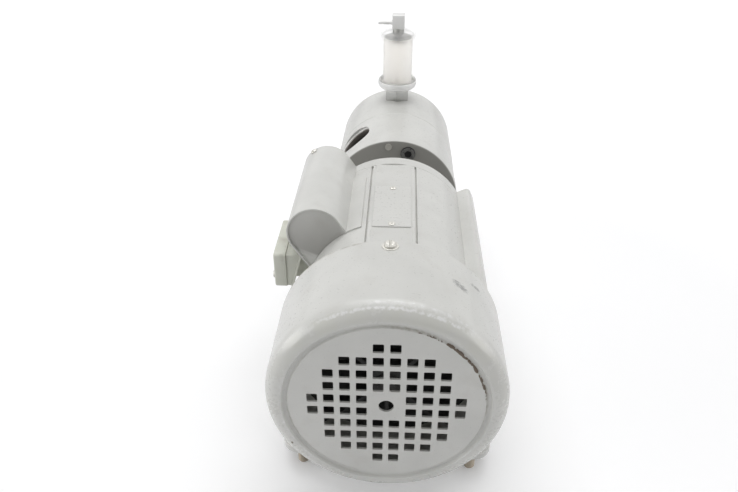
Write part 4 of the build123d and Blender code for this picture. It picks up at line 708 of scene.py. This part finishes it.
# %% [markdown]
# ## Capacitor cover
# The cover over the capacitor is one sheet folded to a U that leans out to the left.  Half a
# cylinder and two boxes would show seams where they join, so its path is drawn in one go: a flank, a
# half circle and a flank, given a thickness.  Two plates close the ends, set in a little, so the
# sheet's edge frames them.

# %% Folded sheet and its ends
HUMP_X, HUMP_Z, HUMP_R, HUMP_TILT, HUMP_WALL = -54.2, 52.0, 20.0, 33.5, 1.2
HUMP_Y, END_INSET = (114.0, 220.0), 1.2


def leaning(across, up):
    """Across and up the U's own axes, turned by the lean: x = a cos - u sin, z = a sin + u cos."""
    c, s = np.cos(np.radians(HUMP_TILT)), np.sin(np.radians(HUMP_TILT))
    return np.stack([HUMP_X + across * c - up * s, HUMP_Z + across * s + up * c], axis=-1)


def flank_end(across):
    """How far down a flank runs to meet the frame: the least drop with |place| < FRAME_R + 0.1."""
    down = np.linspace(0, 60, 6001)
    return down[np.argmax(np.hypot(*leaning(across, -down).T) < FRAME_R + 0.1)]


def u_path(radius):
    """Up one flank, over the half circle (radius * cos t, radius * sin t), and down the other flank."""
    t = np.linspace(np.pi, 0, 40)
    arc = leaning(radius * np.cos(t), radius * np.sin(t))
    left = leaning(np.full(8, -radius), -np.linspace(flank_end(-radius), 1.5, 8))
    right = leaning(np.full(6, radius), -np.linspace(1.5, flank_end(radius), 6))
    return np.concatenate([left, arc, right])


outer, inner = u_path(HUMP_R), u_path(HUMP_R - HUMP_WALL)
sheet = carried(np.concatenate([outer, inner[::-1]]), eased(*HUMP_Y, 0.35))
inside = u_path(HUMP_R - HUMP_WALL + 0.1)
start, stop = np.arctan2(*inside[-1]), np.arctan2(*inside[0])
sweep = np.linspace(start, stop, 20)[1:-1]
seat = (FRAME_R + 0.1) * np.stack([np.sin(sweep), np.cos(sweep)], axis=1)
end_face = np.concatenate([inside, seat])
front_end = carried(end_face, eased(HUMP_Y[0] + END_INSET, HUMP_Y[0] + 2 * END_INSET, 0.1))
rear_end = carried(end_face, eased(HUMP_Y[1] - 2 * END_INSET, HUMP_Y[1] - END_INSET, 0.1))
print("sheet and ends, points:", len(sheet[0]), len(front_end[0]), len(rear_end[0]))

# %% [markdown]
# Its flange follows the frame's curve.  A flat plate would have to be bent after its corner is cut,
# so it is a patch of a cylinder from the start, and its far corner is rounded off by the length of
# each strip, which depends on how close the strip is to the outer edge.


# %% Flange
FLANGE_X, FLANGE_END_Y, FLANGE_CORNER = (-33.3, -21.3), 195.0, 6.0


def flange():
    """Place u across and share v along.  With c as the corner's radius, a strip whose gap to the outer
    edge is under c ends at end - c + sqrt(c^2 - (c - gap)^2).  Two skins 1.1 mm apart make the sheet."""
    u = np.linspace(*FLANGE_X, 25)
    gap = np.minimum(u[-1] - u, FLANGE_CORNER)
    stop = FLANGE_END_Y - FLANGE_CORNER + np.sqrt(FLANGE_CORNER ** 2 - (FLANGE_CORNER - gap) ** 2)
    v = np.linspace(0, 1, 24)[:, None]
    y = HUMP_Y[0] + 0.1 + v * (stop - HUMP_Y[0] - 0.1)
    angle = np.arcsin(u / (FRAME_R + 0.6)) + 0 * v
    under, over = [np.stack([r * np.sin(angle), y, r * np.cos(angle)], axis=-1)
                   for r in (FRAME_R + 0.05, FRAME_R + 1.15)]
    return capped(np.concatenate([under, over[:, ::-1]], axis=1).reshape(-1, 3), len(y))


capacitor_cover = piece("capacitor_cover_folded", together(sheet, front_end, rear_end, flange()), painted_shade_enamel,
                        ["capacitor_cover"])
x, y, z = shaft_points(capacitor_cover).T
on_end = (np.abs(y - HUMP_Y[0] - END_INSET) < 0.4) & (np.hypot(x - HUMP_X, z - HUMP_Z) < HUMP_R - 0.9)
# Painted shade on the capacitor cover's front end plate, darker towards the bottom.
paint(capacitor_cover, "dust_and_shade", on_end * np.interp(z, [30, 70], [0.75, 0.15]))

# %% [markdown]
# ## Terminal box
# A deep lid stands over a shallow cast box.  A bevelled cube would do for the lid, but all its edges
# would be alike, so it is a rounded rectangle carried across, with a generous edge on its outer side.
# The box reaches in to the frame and the capacitor cover.  Its front end is cut back to a slanted
# wall, which leaves a dark gap beside the frame.

# %% Lid
BOX_X, BOX_Y, BOX_Z, LID_DEPTH = -85.3, (114.5, 165.5), (5.0, 33.5), 9.0
lid_section = rectangle(BOX_Y[1] - BOX_Y[0], BOX_Z[1] - BOX_Z[0], 2.5, (sum(BOX_Y) / 2, sum(BOX_Z) / 2))
outer_edge = eased(BOX_X, BOX_X + LID_DEPTH, 1.2)[:4]
inner_edge = eased(BOX_X, BOX_X + LID_DEPTH, 0.3)[4:]
lid = carried(lid_section, np.concatenate([outer_edge, inner_edge]), axis="X")
piece("terminal_lid_cast", lid, box_enamel, ["terminal_box_lid"])

# %% Box
BOX_BACK_X, BOX_FRONT_END, BOX_GAP = BOX_X + LID_DEPTH + 0.1, 13.0, 1.0
BESIDE_FLANK = -HUMP_R - 0.3
WALL_FOOT_X, WALL_TOP_X = -73.4, -65.9
box_low, box_high = BOX_Z[0] + 1, BOX_Z[1] - 1


def flank_at(height):
    """Place just outside the capacitor cover's flank: down the flank by (top - height) / cos(lean)."""
    down = (leaning(BESIDE_FLANK, 0.0)[1] - height) / np.cos(np.radians(HUMP_TILT))
    return leaning(BESIDE_FLANK, -down)


meets_x, meets_z = leaning(BESIDE_FLANK, -flank_end(BESIDE_FLANK))
sweep = np.linspace(np.arctan2(box_low, -FRAME_R), np.arctan2(meets_z, meets_x), 16)
against_frame = (FRAME_R + 0.2) * np.stack([np.cos(sweep), np.sin(sweep)], axis=1)
full = np.concatenate([[(BOX_BACK_X, box_high), (BOX_BACK_X, box_low)], against_frame, [flank_at(box_high)]])
wedge = rounded([(BOX_BACK_X, box_low, 0.5), (WALL_FOOT_X, box_low, 0.5), (WALL_TOP_X, box_high, 0.3),
                 (BOX_BACK_X, box_high, 0.3)])
back_wall = rounded([(WALL_FOOT_X - 0.2, box_low - 0.9, 0.4), (WALL_FOOT_X + 1.6, box_low - 0.9, 0.4),
                     (WALL_TOP_X + 1.5, box_high - 0.6, 0.4), (WALL_TOP_X - 0.2, box_high - 0.3, 0.4)])
box = together(
    carried(full, eased(BOX_Y[0] + BOX_FRONT_END, BOX_Y[1] - BOX_GAP, 0.3)),
    carried(wedge, eased(BOX_Y[0] + BOX_GAP, BOX_Y[0] + BOX_FRONT_END + 1, 0.3)),
    carried(back_wall, eased(BOX_Y[0] + BOX_GAP - 0.5, BOX_Y[0] + BOX_FRONT_END + 1, 0.3)))
piece("terminal_box_cast", box, box_enamel, ["terminal_box"])

# %% [markdown]
# The small screws on the plate, the cover's crest and the lid are the same pan head at three sizes.
# A linked object for each would need a place of its own, so the heads are moved and laid over as
# points, and all of them make one piece.


# %% Small screws
small = pan_screw(2.5, 0.9, 0.7)
blank_heads = [moved(small, y=y, z=PAD_HEIGHT + PLATE_T) for y in (PLATE_Y[0] + 3.5, PLATE_Y[1] - 3.5)]
crest = pan_screw(2.6, 1.6, 0.8)


def on_crest(shell, lean):
    """Onto the cover: up by its radius, leant by `lean` about the U's centre."""
    points, faces = about_shaft(moved(shell, y=HUMP_Y[1] - 5.0, z=HUMP_R), lean)
    return points + np.array([HUMP_X, 0, HUMP_Z]), faces


def facing_left(shell, y, z):
    """A screw that stands on z = 0 is laid over so that its head points to -X."""
    points, faces = shell
    return np.stack([BOX_X - points[:, 2], y + points[:, 1], z + points[:, 0]], axis=1), faces


lid_head = pan_screw(3.0, 2.0, 0.8)
heads = blank_heads + [on_crest(crest, -HUMP_TILT), on_crest(crest, -HUMP_TILT - 75)]
heads += [facing_left(lid_head, y, BOX_Z[0] + 7) for y in (BOX_Y[0] + 7, BOX_Y[1] - 9)]
piece("small_screw_heads", together(*heads), zinc, ["small_screws"])

# %% [markdown]
# ## Pump drum
# The adapter and the rear barrel are turned, as a lathe would finish these castings.  The front
# barrel holds the port and the valves, so it stays the frame's own shape.  Stacked cylinders would
# show no joint.  Here the edges that meet are eased, so a fine dark line runs round the drum.

# %% Adapter
DRUM_POINTS_ROUND = 192
ADAPTER_Y, DISC_Y = 221.5, (265.0, 279.0)
SPIGOT_R, FLANGE_R, FLANGE_T, NECK_R, DISC_R, LIP_R = 39.9, 52.0, 8.5, 38.0, 57.5, 52.1
adapter_outline = [
    (32, ADAPTER_Y - 2.9, 0.2), (SPIGOT_R, ADAPTER_Y - 2.9, 0.2), (SPIGOT_R, ADAPTER_Y + 0.02, 0),
    (FLANGE_R, ADAPTER_Y + 0.02, 0.5), (FLANGE_R, ADAPTER_Y + FLANGE_T, 1.0),
    (NECK_R, ADAPTER_Y + FLANGE_T, 3.0), (NECK_R, DISC_Y[0], 3.0), (DISC_R, DISC_Y[0], 1.2),
    (DISC_R, DISC_Y[1], 0.8), (LIP_R, DISC_Y[1], 0), (LIP_R, DISC_Y[1] + 3.9, 0.3),
    (11, DISC_Y[1] + 3.9, 0.3), (11, DISC_Y[0], 0.5), (32, DISC_Y[0] - 10, 1.0)]
adapter = piece("pump_adapter_casting", turned(adapter_outline, around=DRUM_POINTS_ROUND, arc_steps=6),
                painted_shade_enamel, ["pump_adapter"])
# Painted shade on the disc's front face and on all of the adapter in front of it.
paint(adapter, "dust_and_shade", np.clip((DISC_Y[0] + 0.8 - shaft_points(adapter)[:, 1]) / 0.8, 0, 1))

# %% Rear barrel
DRUM_R, DRUM_BORE_R, SEAM_Y, DRUM_END_Y = 57.0, 52.2, 332.0, 405.0
rear_outline = [
    (DRUM_BORE_R, SEAM_Y, 0), (DRUM_R, SEAM_Y, 0.8), (DRUM_R - 1, DRUM_END_Y, 5.0), (0, DRUM_END_Y, 0),
    (0, DRUM_END_Y - 4.5, 0), (DRUM_BORE_R, DRUM_END_Y - 4.5, 2.0)]
piece("rear_barrel_casting", turned(rear_outline, around=DRUM_POINTS_ROUND, arc_steps=8), enamel,
      ["rear_housing"])

# %% [markdown]
# Socket-head screws have a hexagonal well.  Cutting it with a hexagonal bar would leave thin faces on
# the rim, so the head's outline is carried inwards and down again, and its radius there is set by a
# hexagon instead of a circle.


# %% Socket-head screws
def socket_screw(head_r, head_h, socket_af):
    """Head on z = 0 to head_h.  In the well, half as deep as the head, the radius is a hexagon's."""
    t = np.linspace(0, 2 * np.pi, SCREW_POINTS_ROUND, endpoint=False)
    side, hexed = np.full_like(t, head_r), hexagon_radius(socket_af, t)
    r = np.array([0 * t, side, side, side - 0.15, side - 0.5, hexed + 0.35, hexed, hexed, 0 * t])
    outer = [0.0, 0.0, head_h - 0.5, head_h - 0.15, head_h]
    well = [head_h, head_h - 0.3, head_h * 0.5, head_h * 0.5 - 0.6]
    h = np.array(outer + well)[:, None] + 0 * t
    return grid_points("Z", r * np.sin(t), r * np.cos(t), h), quads(*r.shape, close_rows=True)


def on_face(shell, seat_y, circle, degrees, towards):
    """Stands a screw on a face across the shaft, at an angle round it; towards is -1 for the fan."""
    points, faces = shell
    laid = np.stack([points[:, 0], seat_y + towards * points[:, 2], circle + points[:, 1]], axis=1)
    return about_shaft((laid, faces), degrees)


FRONT_CIRCLE, FRONT_TURNS = 47.0, (14.3, 104.3, 194.3, 284.3)
FLANGE_CIRCLE, REAR_CIRCLE = 45.5, 47.0
PIN_CIRCLE, PIN_TURN, PIN_R = 52.0, -6.5, 2.9
front_screw = socket_screw(6.5, 2.0, 6.0)
front_screws = [on_face(front_screw, DISC_Y[0], FRONT_CIRCLE, turn, -1) for turn in FRONT_TURNS]
front_heads = piece("housing_front_screw_heads", together(*front_screws), black,
                    ["housing_front_screws"])
x, y, z = shaft_points(front_heads).T
across, up = FRONT_CIRCLE * np.sin(np.radians(FRONT_TURNS)), FRONT_CIRCLE * np.cos(np.radians(FRONT_TURNS))
off_axis = np.min(np.hypot(x[:, None] - across, z[:, None] - up), axis=1)
# Grey dust on the face of each front screw head.
paint(front_heads, "dust_and_shade", 1.0 * (y < y.min() + 0.4) * (off_axis > 3.2) * (off_axis < 6.1))
pin = turned([(0, 264.0, 0), (PIN_R, 264.0, 0), (PIN_R, 264.9, 0.3), (2.4, 270, 0), (0, 270, 0)], around=48)
pin = moved(pin, x=PIN_CIRCLE * np.sin(np.radians(PIN_TURN)), z=PIN_CIRCLE * np.cos(np.radians(PIN_TURN)))
piece("locating_pin_head", pin, zinc, ["locating_pin"])
flange_screw, rear_screw = socket_screw(5.0, 6.0, 5.0), socket_screw(4.3, 5.0, 4.0)
flange_screws = [on_face(flange_screw, ADAPTER_Y + FLANGE_T, FLANGE_CIRCLE, turn, 1)
                 for turn in (0, 90, 180, 270)]
rear_screws = [on_face(rear_screw, DRUM_END_Y - 1.2, REAR_CIRCLE, turn, 1) for turn in (45, 135, 225, 315)]
piece("casing_screw_heads", together(*flange_screws, *rear_screws), black, ["casing_screws"])

# %% [markdown]
# ## Inlet filter
# On top stands a small filter: hex nipple, bright base ring, clear bowl with a white element in it,
# a stem, and a square elbow with a barbed tail for a 4 mm hose.  The real metal parts come off a
# lathe.  Stacked cylinders would lack their grooves and lips, so each is one outline, turned.


# %% Filter parts
FILTER_Y = 376.0
on_axis = (0, FILTER_Y, 0)


def on_filter(outline, around, **more):
    """An outline turned round the filter's upright axis."""
    return turned(outline, axis="Z", centre=on_axis, around=around, **more)


nipple = together(
    carried(hexagon(22.0, 0.5), eased(55.4, 68.0, 0.8), axis="Z", centre=on_axis),
    on_filter([(0, 45, 0), (8.2, 45, 0.5), (8.2, 56, 0), (0, 56, 0)], 64),
    on_filter([(0, 67, 0), (7.9, 67, 0), (7.9, 71.9, 0.3), (0, 71.9, 0)], 64))
piece("filter_nipple_turned", nipple, nickel, ["filter_nipple"])
base_outline = [
    (8.05, 68, 0), (16.5, 68, 0.6), (18.2, 69.5, 0.4), (18.2, 70.5, 0.2), (17.6, 71, 0.1), (19, 71.6, 0.3),
    (19, 75, 0.5), (17.35, 75, 0.1), (17.35, 72, 0), (8.05, 72, 0)]
piece("filter_base_turned", on_filter(base_outline, 128, arc_steps=4), satin, ["filter_base"])
bowl_outline = [
    (16.3, 72.05, 0.2), (17.2, 72.05, 0.2), (17.2, 75.05, 0), (18.3, 75.05, 0.3), (18.3, 124.5, 7.0),
    (8.0, 124.3, 1.2), (6.6, 120.5, 0.3), (3.3, 120.5, 0.2), (3.3, 118.5, 0.2), (8.6, 118.5, 1.0),
    (9.4, 122.5, 0.8), (16.3, 122.5, 5.0)]
bowl = piece("filter_bowl_moulded", on_filter(bowl_outline, 128, longest=2, arc_steps=8), clear,
             ["filter_bowl"])
x, y, z = shaft_points(bowl).T
r = np.hypot(x, y - FILTER_Y)
# Painted shade at the shoulder's outer edge, and a grey line round the base.
paint(bowl, "veil_and_shade", np.clip(hill(z, 75.4, 0.8) + 0.55 * hill(z, 121.0, 3.0) * (r > 14.5), 0, 1))
element_outline = [(7, 72.1, 0.3), (14, 72.1, 0.8), (14, 117, 0.8), (7, 117, 0.3)]
piece("filter_element_sintered", on_filter(element_outline, 96), sintered, ["filter_element"])

# %% Stem, elbow and hose tail
BLOCK, BARB_Z = 12.0, 131.0
stem_outline = [
    (0, 113, 0), (6.8, 113, 0.3), (6.8, 117, 0), (13, 117, 0.3), (13, 118, 0.3), (3.2, 118, 0),
    (3.2, 120.5, 0), (5.4, 120.5, 0.2), (5.4, 125.9, 0.5), (3.2, 125.9, 0), (3.2, 136.4, 0.2), (0, 136.4, 0)]
piece("filter_stem_turned", on_filter(stem_outline, 72), nickel, ["filter_stem"])
elbow = carried(rectangle(BLOCK, BLOCK, 0.6), eased(126.0, 139.0, 0.7), axis="Z", centre=on_axis)
piece("elbow_block_machined", elbow, satin, ["elbow_block"])
TUBE_R, BEAD_R, BORE_R, BARB_PITCH = 1.7, 2.2, 0.9, 3.325
tail = [(0, -3.3, 0), (TUBE_R, -3.3, 0), (TUBE_R, -6.0, 0), (BEAD_R, -6.0, 0.1), (BEAD_R, -7.5, 0.1),
        (TUBE_R, -7.5, 0)]
for k in (1, 2, 3):
    start = -6.0 - k * BARB_PITCH
    tail += [(TUBE_R, start, 0), (BEAD_R, start, 0.12), (TUBE_R, start - 2.9, 0)]
tail += [(TUBE_R, -19.3, 0.3), (BORE_R, -19.3, 0.1), (BORE_R, -8.0, 0), (0, -8.0, 0)]
hose_tail = turned(tail, axis="X", centre=(0, FILTER_Y, BARB_Z), around=48, arc_steps=3)
piece("hose_tail_barbed", hose_tail, satin, ["hose_barb"])

# %% [markdown]
# ## Feet
# The studs are threaded.  A ridge swept along a helix would have to be joined to a bar, so a thread
# is a turned bar whose radius also depends on height and angle together: the ridge climbs by one
# pitch each turn.  The nuts are hexagons with chamfered corners, and the discs are rubber with a soft
# lower edge.


# %% Studs, nuts, discs
PLATE_TOP, PLATE_THICK = -78.0, 5.0
FOOT_WIDTH, FOOT_LENGTH, FOOT_CORNER = 148.0, 217.0, 12.0
STUD_R, STUD_WAIST_R, WAIST_DROP, NUT_WIDTH, NUT_HEIGHT = 4.0, 3.6, 5.0, 13.0, 6.5
STUD_X, STUD_Y = 60.0, (43.5, 243.5)
STUDS = [(x, y) for y in STUD_Y for x in (-STUD_X, STUD_X)]


def threaded_stud(radius, low, high, pitch=1.25, depth=0.6):
    """r(h, t) = radius(h) - depth * (1 - cos(2 pi h / pitch - t)) / 2, tapered at both ends."""
    h = np.linspace(low, high, int((high - low) / pitch * 8) + 1)[:, None]
    t = np.linspace(0, 2 * np.pi, 32, endpoint=False)
    wave = (1 - np.cos(2 * np.pi * h / pitch - t)) / 2
    taper = np.clip(np.minimum(h - low, high - h) / 1.0, 0, 1)
    r = (radius(h) - depth * wave) * (0.82 + 0.18 * taper)
    return capped(grid_points("Z", r * np.sin(t), r * np.cos(t), h + 0 * t), len(h))


def chamfered_nut(across_flats, low, high):
    """A hexagonal bar cut by a cone at each end: radius is the least of the hexagon's and the cone's."""
    t = np.radians(np.arange(0, 360, 3.0))
    steps = np.array([0, 0.35, 0.8, 1.3])
    cone = across_flats / 2 * 0.98 + steps * 1.6
    r = np.minimum(hexagon_radius(across_flats, t), np.concatenate([cone, cone[::-1]])[:, None])
    h = np.concatenate([low + steps, high - steps[::-1]])[:, None] + 0 * t
    return capped(grid_points("Z", r * np.sin(t), r * np.cos(t), h), len(h))


def at_studs(shell):
    """The same shell at each of the four studs."""
    return together(*[moved(shell, *spot) for spot in STUDS])


plate_low = PLATE_TOP - PLATE_THICK
stud = threaded_stud(lambda h: np.where(h < plate_low - WAIST_DROP, STUD_R, STUD_WAIST_R), -SHAFT_HEIGHT,
                     PLATE_TOP + 9.5)
piece("foot_stud_threads", at_studs(stud), stud_zinc, ["foot_studs"], sharp=60)
nut = chamfered_nut(NUT_WIDTH, PLATE_TOP, PLATE_TOP + NUT_HEIGHT)
piece("foot_nut_hexes", at_studs(nut), stud_zinc, ["foot_nuts"])
pad_low, pad_bore_r = plate_low - 2.2, STUD_R + 0.05
pad_outline = [(pad_bore_r, pad_low, 0.2), (7.0, pad_low, 0.8), (7.5, plate_low, 0.3),
               (pad_bore_r, plate_low, 0)]
pad = turned(pad_outline, axis="Z", around=64)
piece("foot_disc_rubbers", at_studs(pad), pale_rubber, ["foot_discs"])
foot_outline = rectangle(FOOT_WIDTH, FOOT_LENGTH, FOOT_CORNER, (0, sum(STUD_Y) / 2))
foot = carried(foot_outline, eased(plate_low, PLATE_TOP, 0.6), axis="Z")
piece("foot_plate_sheet", foot, enamel, ["foot_plate"])

# %% [markdown]
# ## Parts shown as they are
# The parts inside, and a few plain ones outside, are shown with the frame's own shapes.  A new skin
# for each would add nothing that can be seen, so each only gets the finish of its material.

# %% Finishes for the frame's own parts
node_finish = {
    enamel: ["fan_end_shield", "drive_end_shield", "frame_cradles"],
    barrel_enamel: ["pump_housing"],
    moulding: ["external_fan"],
    dark_moulding: ["terminal_block"],
    zinc: ["tie_bolts"],
    dark_steel: ["motor_shaft", "fan_circlip"],
    bright: ["eccentric", "bearing_inner_rings", "bearing_outer_rings",
             "fan_bearing_balls", "drive_bearing_balls", "tail_bearing_balls", "crank_bearing_inner",
             "crank_bearing_outer", "crank_bearing_balls"],
    valve_steel: ["wave_washer", "valve_guards", "inlet_valve_disc", "outlet_valve_disc"],
    core_steel: ["stator_core", "rotor_core"],
    varnish: ["stator_windings"],
    rubber: ["shaft_seal", "cable_grommet", "diaphragm"],
    cast: ["crankcase", "connecting_rod", "valve_plate", "head_cover"],
    anodised: ["run_capacitor", "clamp_disc"],
    black: ["clamp_screw", "head_screws"],
}
for material, names in node_finish.items():
    for name in names:
        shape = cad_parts[name].data
        shape.materials.clear()
        shape.materials.append(material)
print("frame parts finished:", sum(len(v) for v in node_finish.values()))

# %% [markdown]
# ## Stage, light and camera
# The floor is white paper.  Brighter lamps alone would wash out its shadow and the pump with it, so
# the paper adds a little of its own white to what the camera sees, and more of it far from the pump.
# The sky reads as white to the camera, in reflections and through clear parts, and is dim otherwise.
# A wide lamp hangs overhead, one stands at each side, and two narrow strips above draw the highlights
# on glossy edges.


# %% Floor and sky
FLOOR_GLOW, GLOW_AT, SKY_DIM = (0.16, 0.7), (0.35, 1.8), 0.28


def seen_directly(tree, *kinds):
    """1 for a ray of any of the given kinds, such as a camera ray: the largest of their flags."""
    rays = tree.nodes.new("ShaderNodeLightPath")
    either = rays.outputs[kinds[0]]
    for kind in kinds[1:]:
        either = joined(tree, "MAXIMUM", either, rays.outputs[kind])
    return either


floor_mesh = bpy.data.meshes.new("studio_floor")
floor_mesh.from_pydata([(-6, -6, 0), (6, -6, 0), (6, 8, 0), (-6, 8, 0)], [], [(0, 1, 2, 3)])
floor = bpy.data.objects.new("studio_floor", floor_mesh)
bpy.context.scene.collection.objects.link(floor)
paper = bpy.data.materials.new("studio_paper")
paper.use_nodes = True
shader = paper.node_tree.nodes["Principled BSDF"]
shader.inputs["Base Color"].default_value = (0.93, 0.93, 0.94, 1)
shader.inputs["Roughness"].default_value = 0.9
shader.inputs["Emission Color"].default_value = (1, 1, 1, 1)
tree = paper.node_tree
direct = seen_directly(tree, "Is Camera Ray", "Is Transmission Ray")
glow = ramp(tree, vector_math(tree, "LENGTH", object_coordinates(tree)), *FLOOR_GLOW, *GLOW_AT)
tree.links.new(joined(tree, "MULTIPLY", direct, glow), shader.inputs["Emission Strength"])
floor_mesh.materials.append(paper)

world = bpy.data.worlds.new("studio")
bpy.context.scene.world = world
world.use_nodes = True
tree = world.node_tree
sky = tree.nodes["Background"]
sky.inputs["Color"].default_value = (1, 1, 1, 1)
direct = seen_directly(tree, "Is Camera Ray", "Is Glossy Ray", "Is Transmission Ray")
tree.links.new(ramp(tree, direct, SKY_DIM, 1.0, 0.0, 1.0), sky.inputs["Strength"])
print("sky, dim and seen directly:", SKY_DIM, 1.0)


# %% Lamps
def lamp(name, place, aim, width, height, power):
    """A rectangular area lamp that faces the point aim; metres and watts."""
    data = bpy.data.lights.new(name, "AREA")
    data.shape, data.size, data.size_y, data.energy = "RECTANGLE", width, height, power
    made = bpy.data.objects.new(name, data)
    made.location = place
    made.rotation_euler = (Vector(aim) - Vector(place)).to_track_quat("-Z", "Y").to_euler()
    bpy.context.scene.collection.objects.link(made)
    return made


lamp("overhead", (0.0, 0.42, 1.7), (0.0, 0.0, 0.1), 2.0, 1.6, 18)
lamp("left_side", (-1.6, -0.38, 0.30), (0.0, 0.0, 0.10), 1.6, 0.8, 11)
lamp("right_side", (1.6, -0.32, 0.30), (0.0, 0.0, 0.10), 1.6, 0.8, 7)
lamp("rear_strip", (0.0, 0.43, 1.56), (0.0, -0.14, 0.17), 1.1, 0.05, 2.0)
lamp("front_strip", (-0.1, -0.80, 1.50), (0.0, -0.14, 0.17), 0.7, 0.07, 1.2)
print("lamps:", len(bpy.data.lights))

# %% [markdown]
# The camera looks down on the fan end from half a metre away.  A long lens from far off would flatten
# the pump.  This one is a little wide, so the cover looms large and the drum falls back behind it.

# %% Camera
bpy.context.scene.view_settings.view_transform = "Standard"
lens = bpy.data.cameras.new("camera")
lens.sensor_width, lens.lens = 36.0, 34.45
lens.clip_start, lens.clip_end = 0.01, 50.0
camera = bpy.data.objects.new("camera", lens)
camera.location = (0.00441, -0.4525, 0.40765)
camera.rotation_euler = Vector((-0.0403, 0.8453, -0.5327)).to_track_quat("-Z", "Y").to_euler()
bpy.context.scene.collection.objects.link(camera)
bpy.context.scene.camera = camera
print("camera, metres from the origin:", round(camera.location.length, 3))
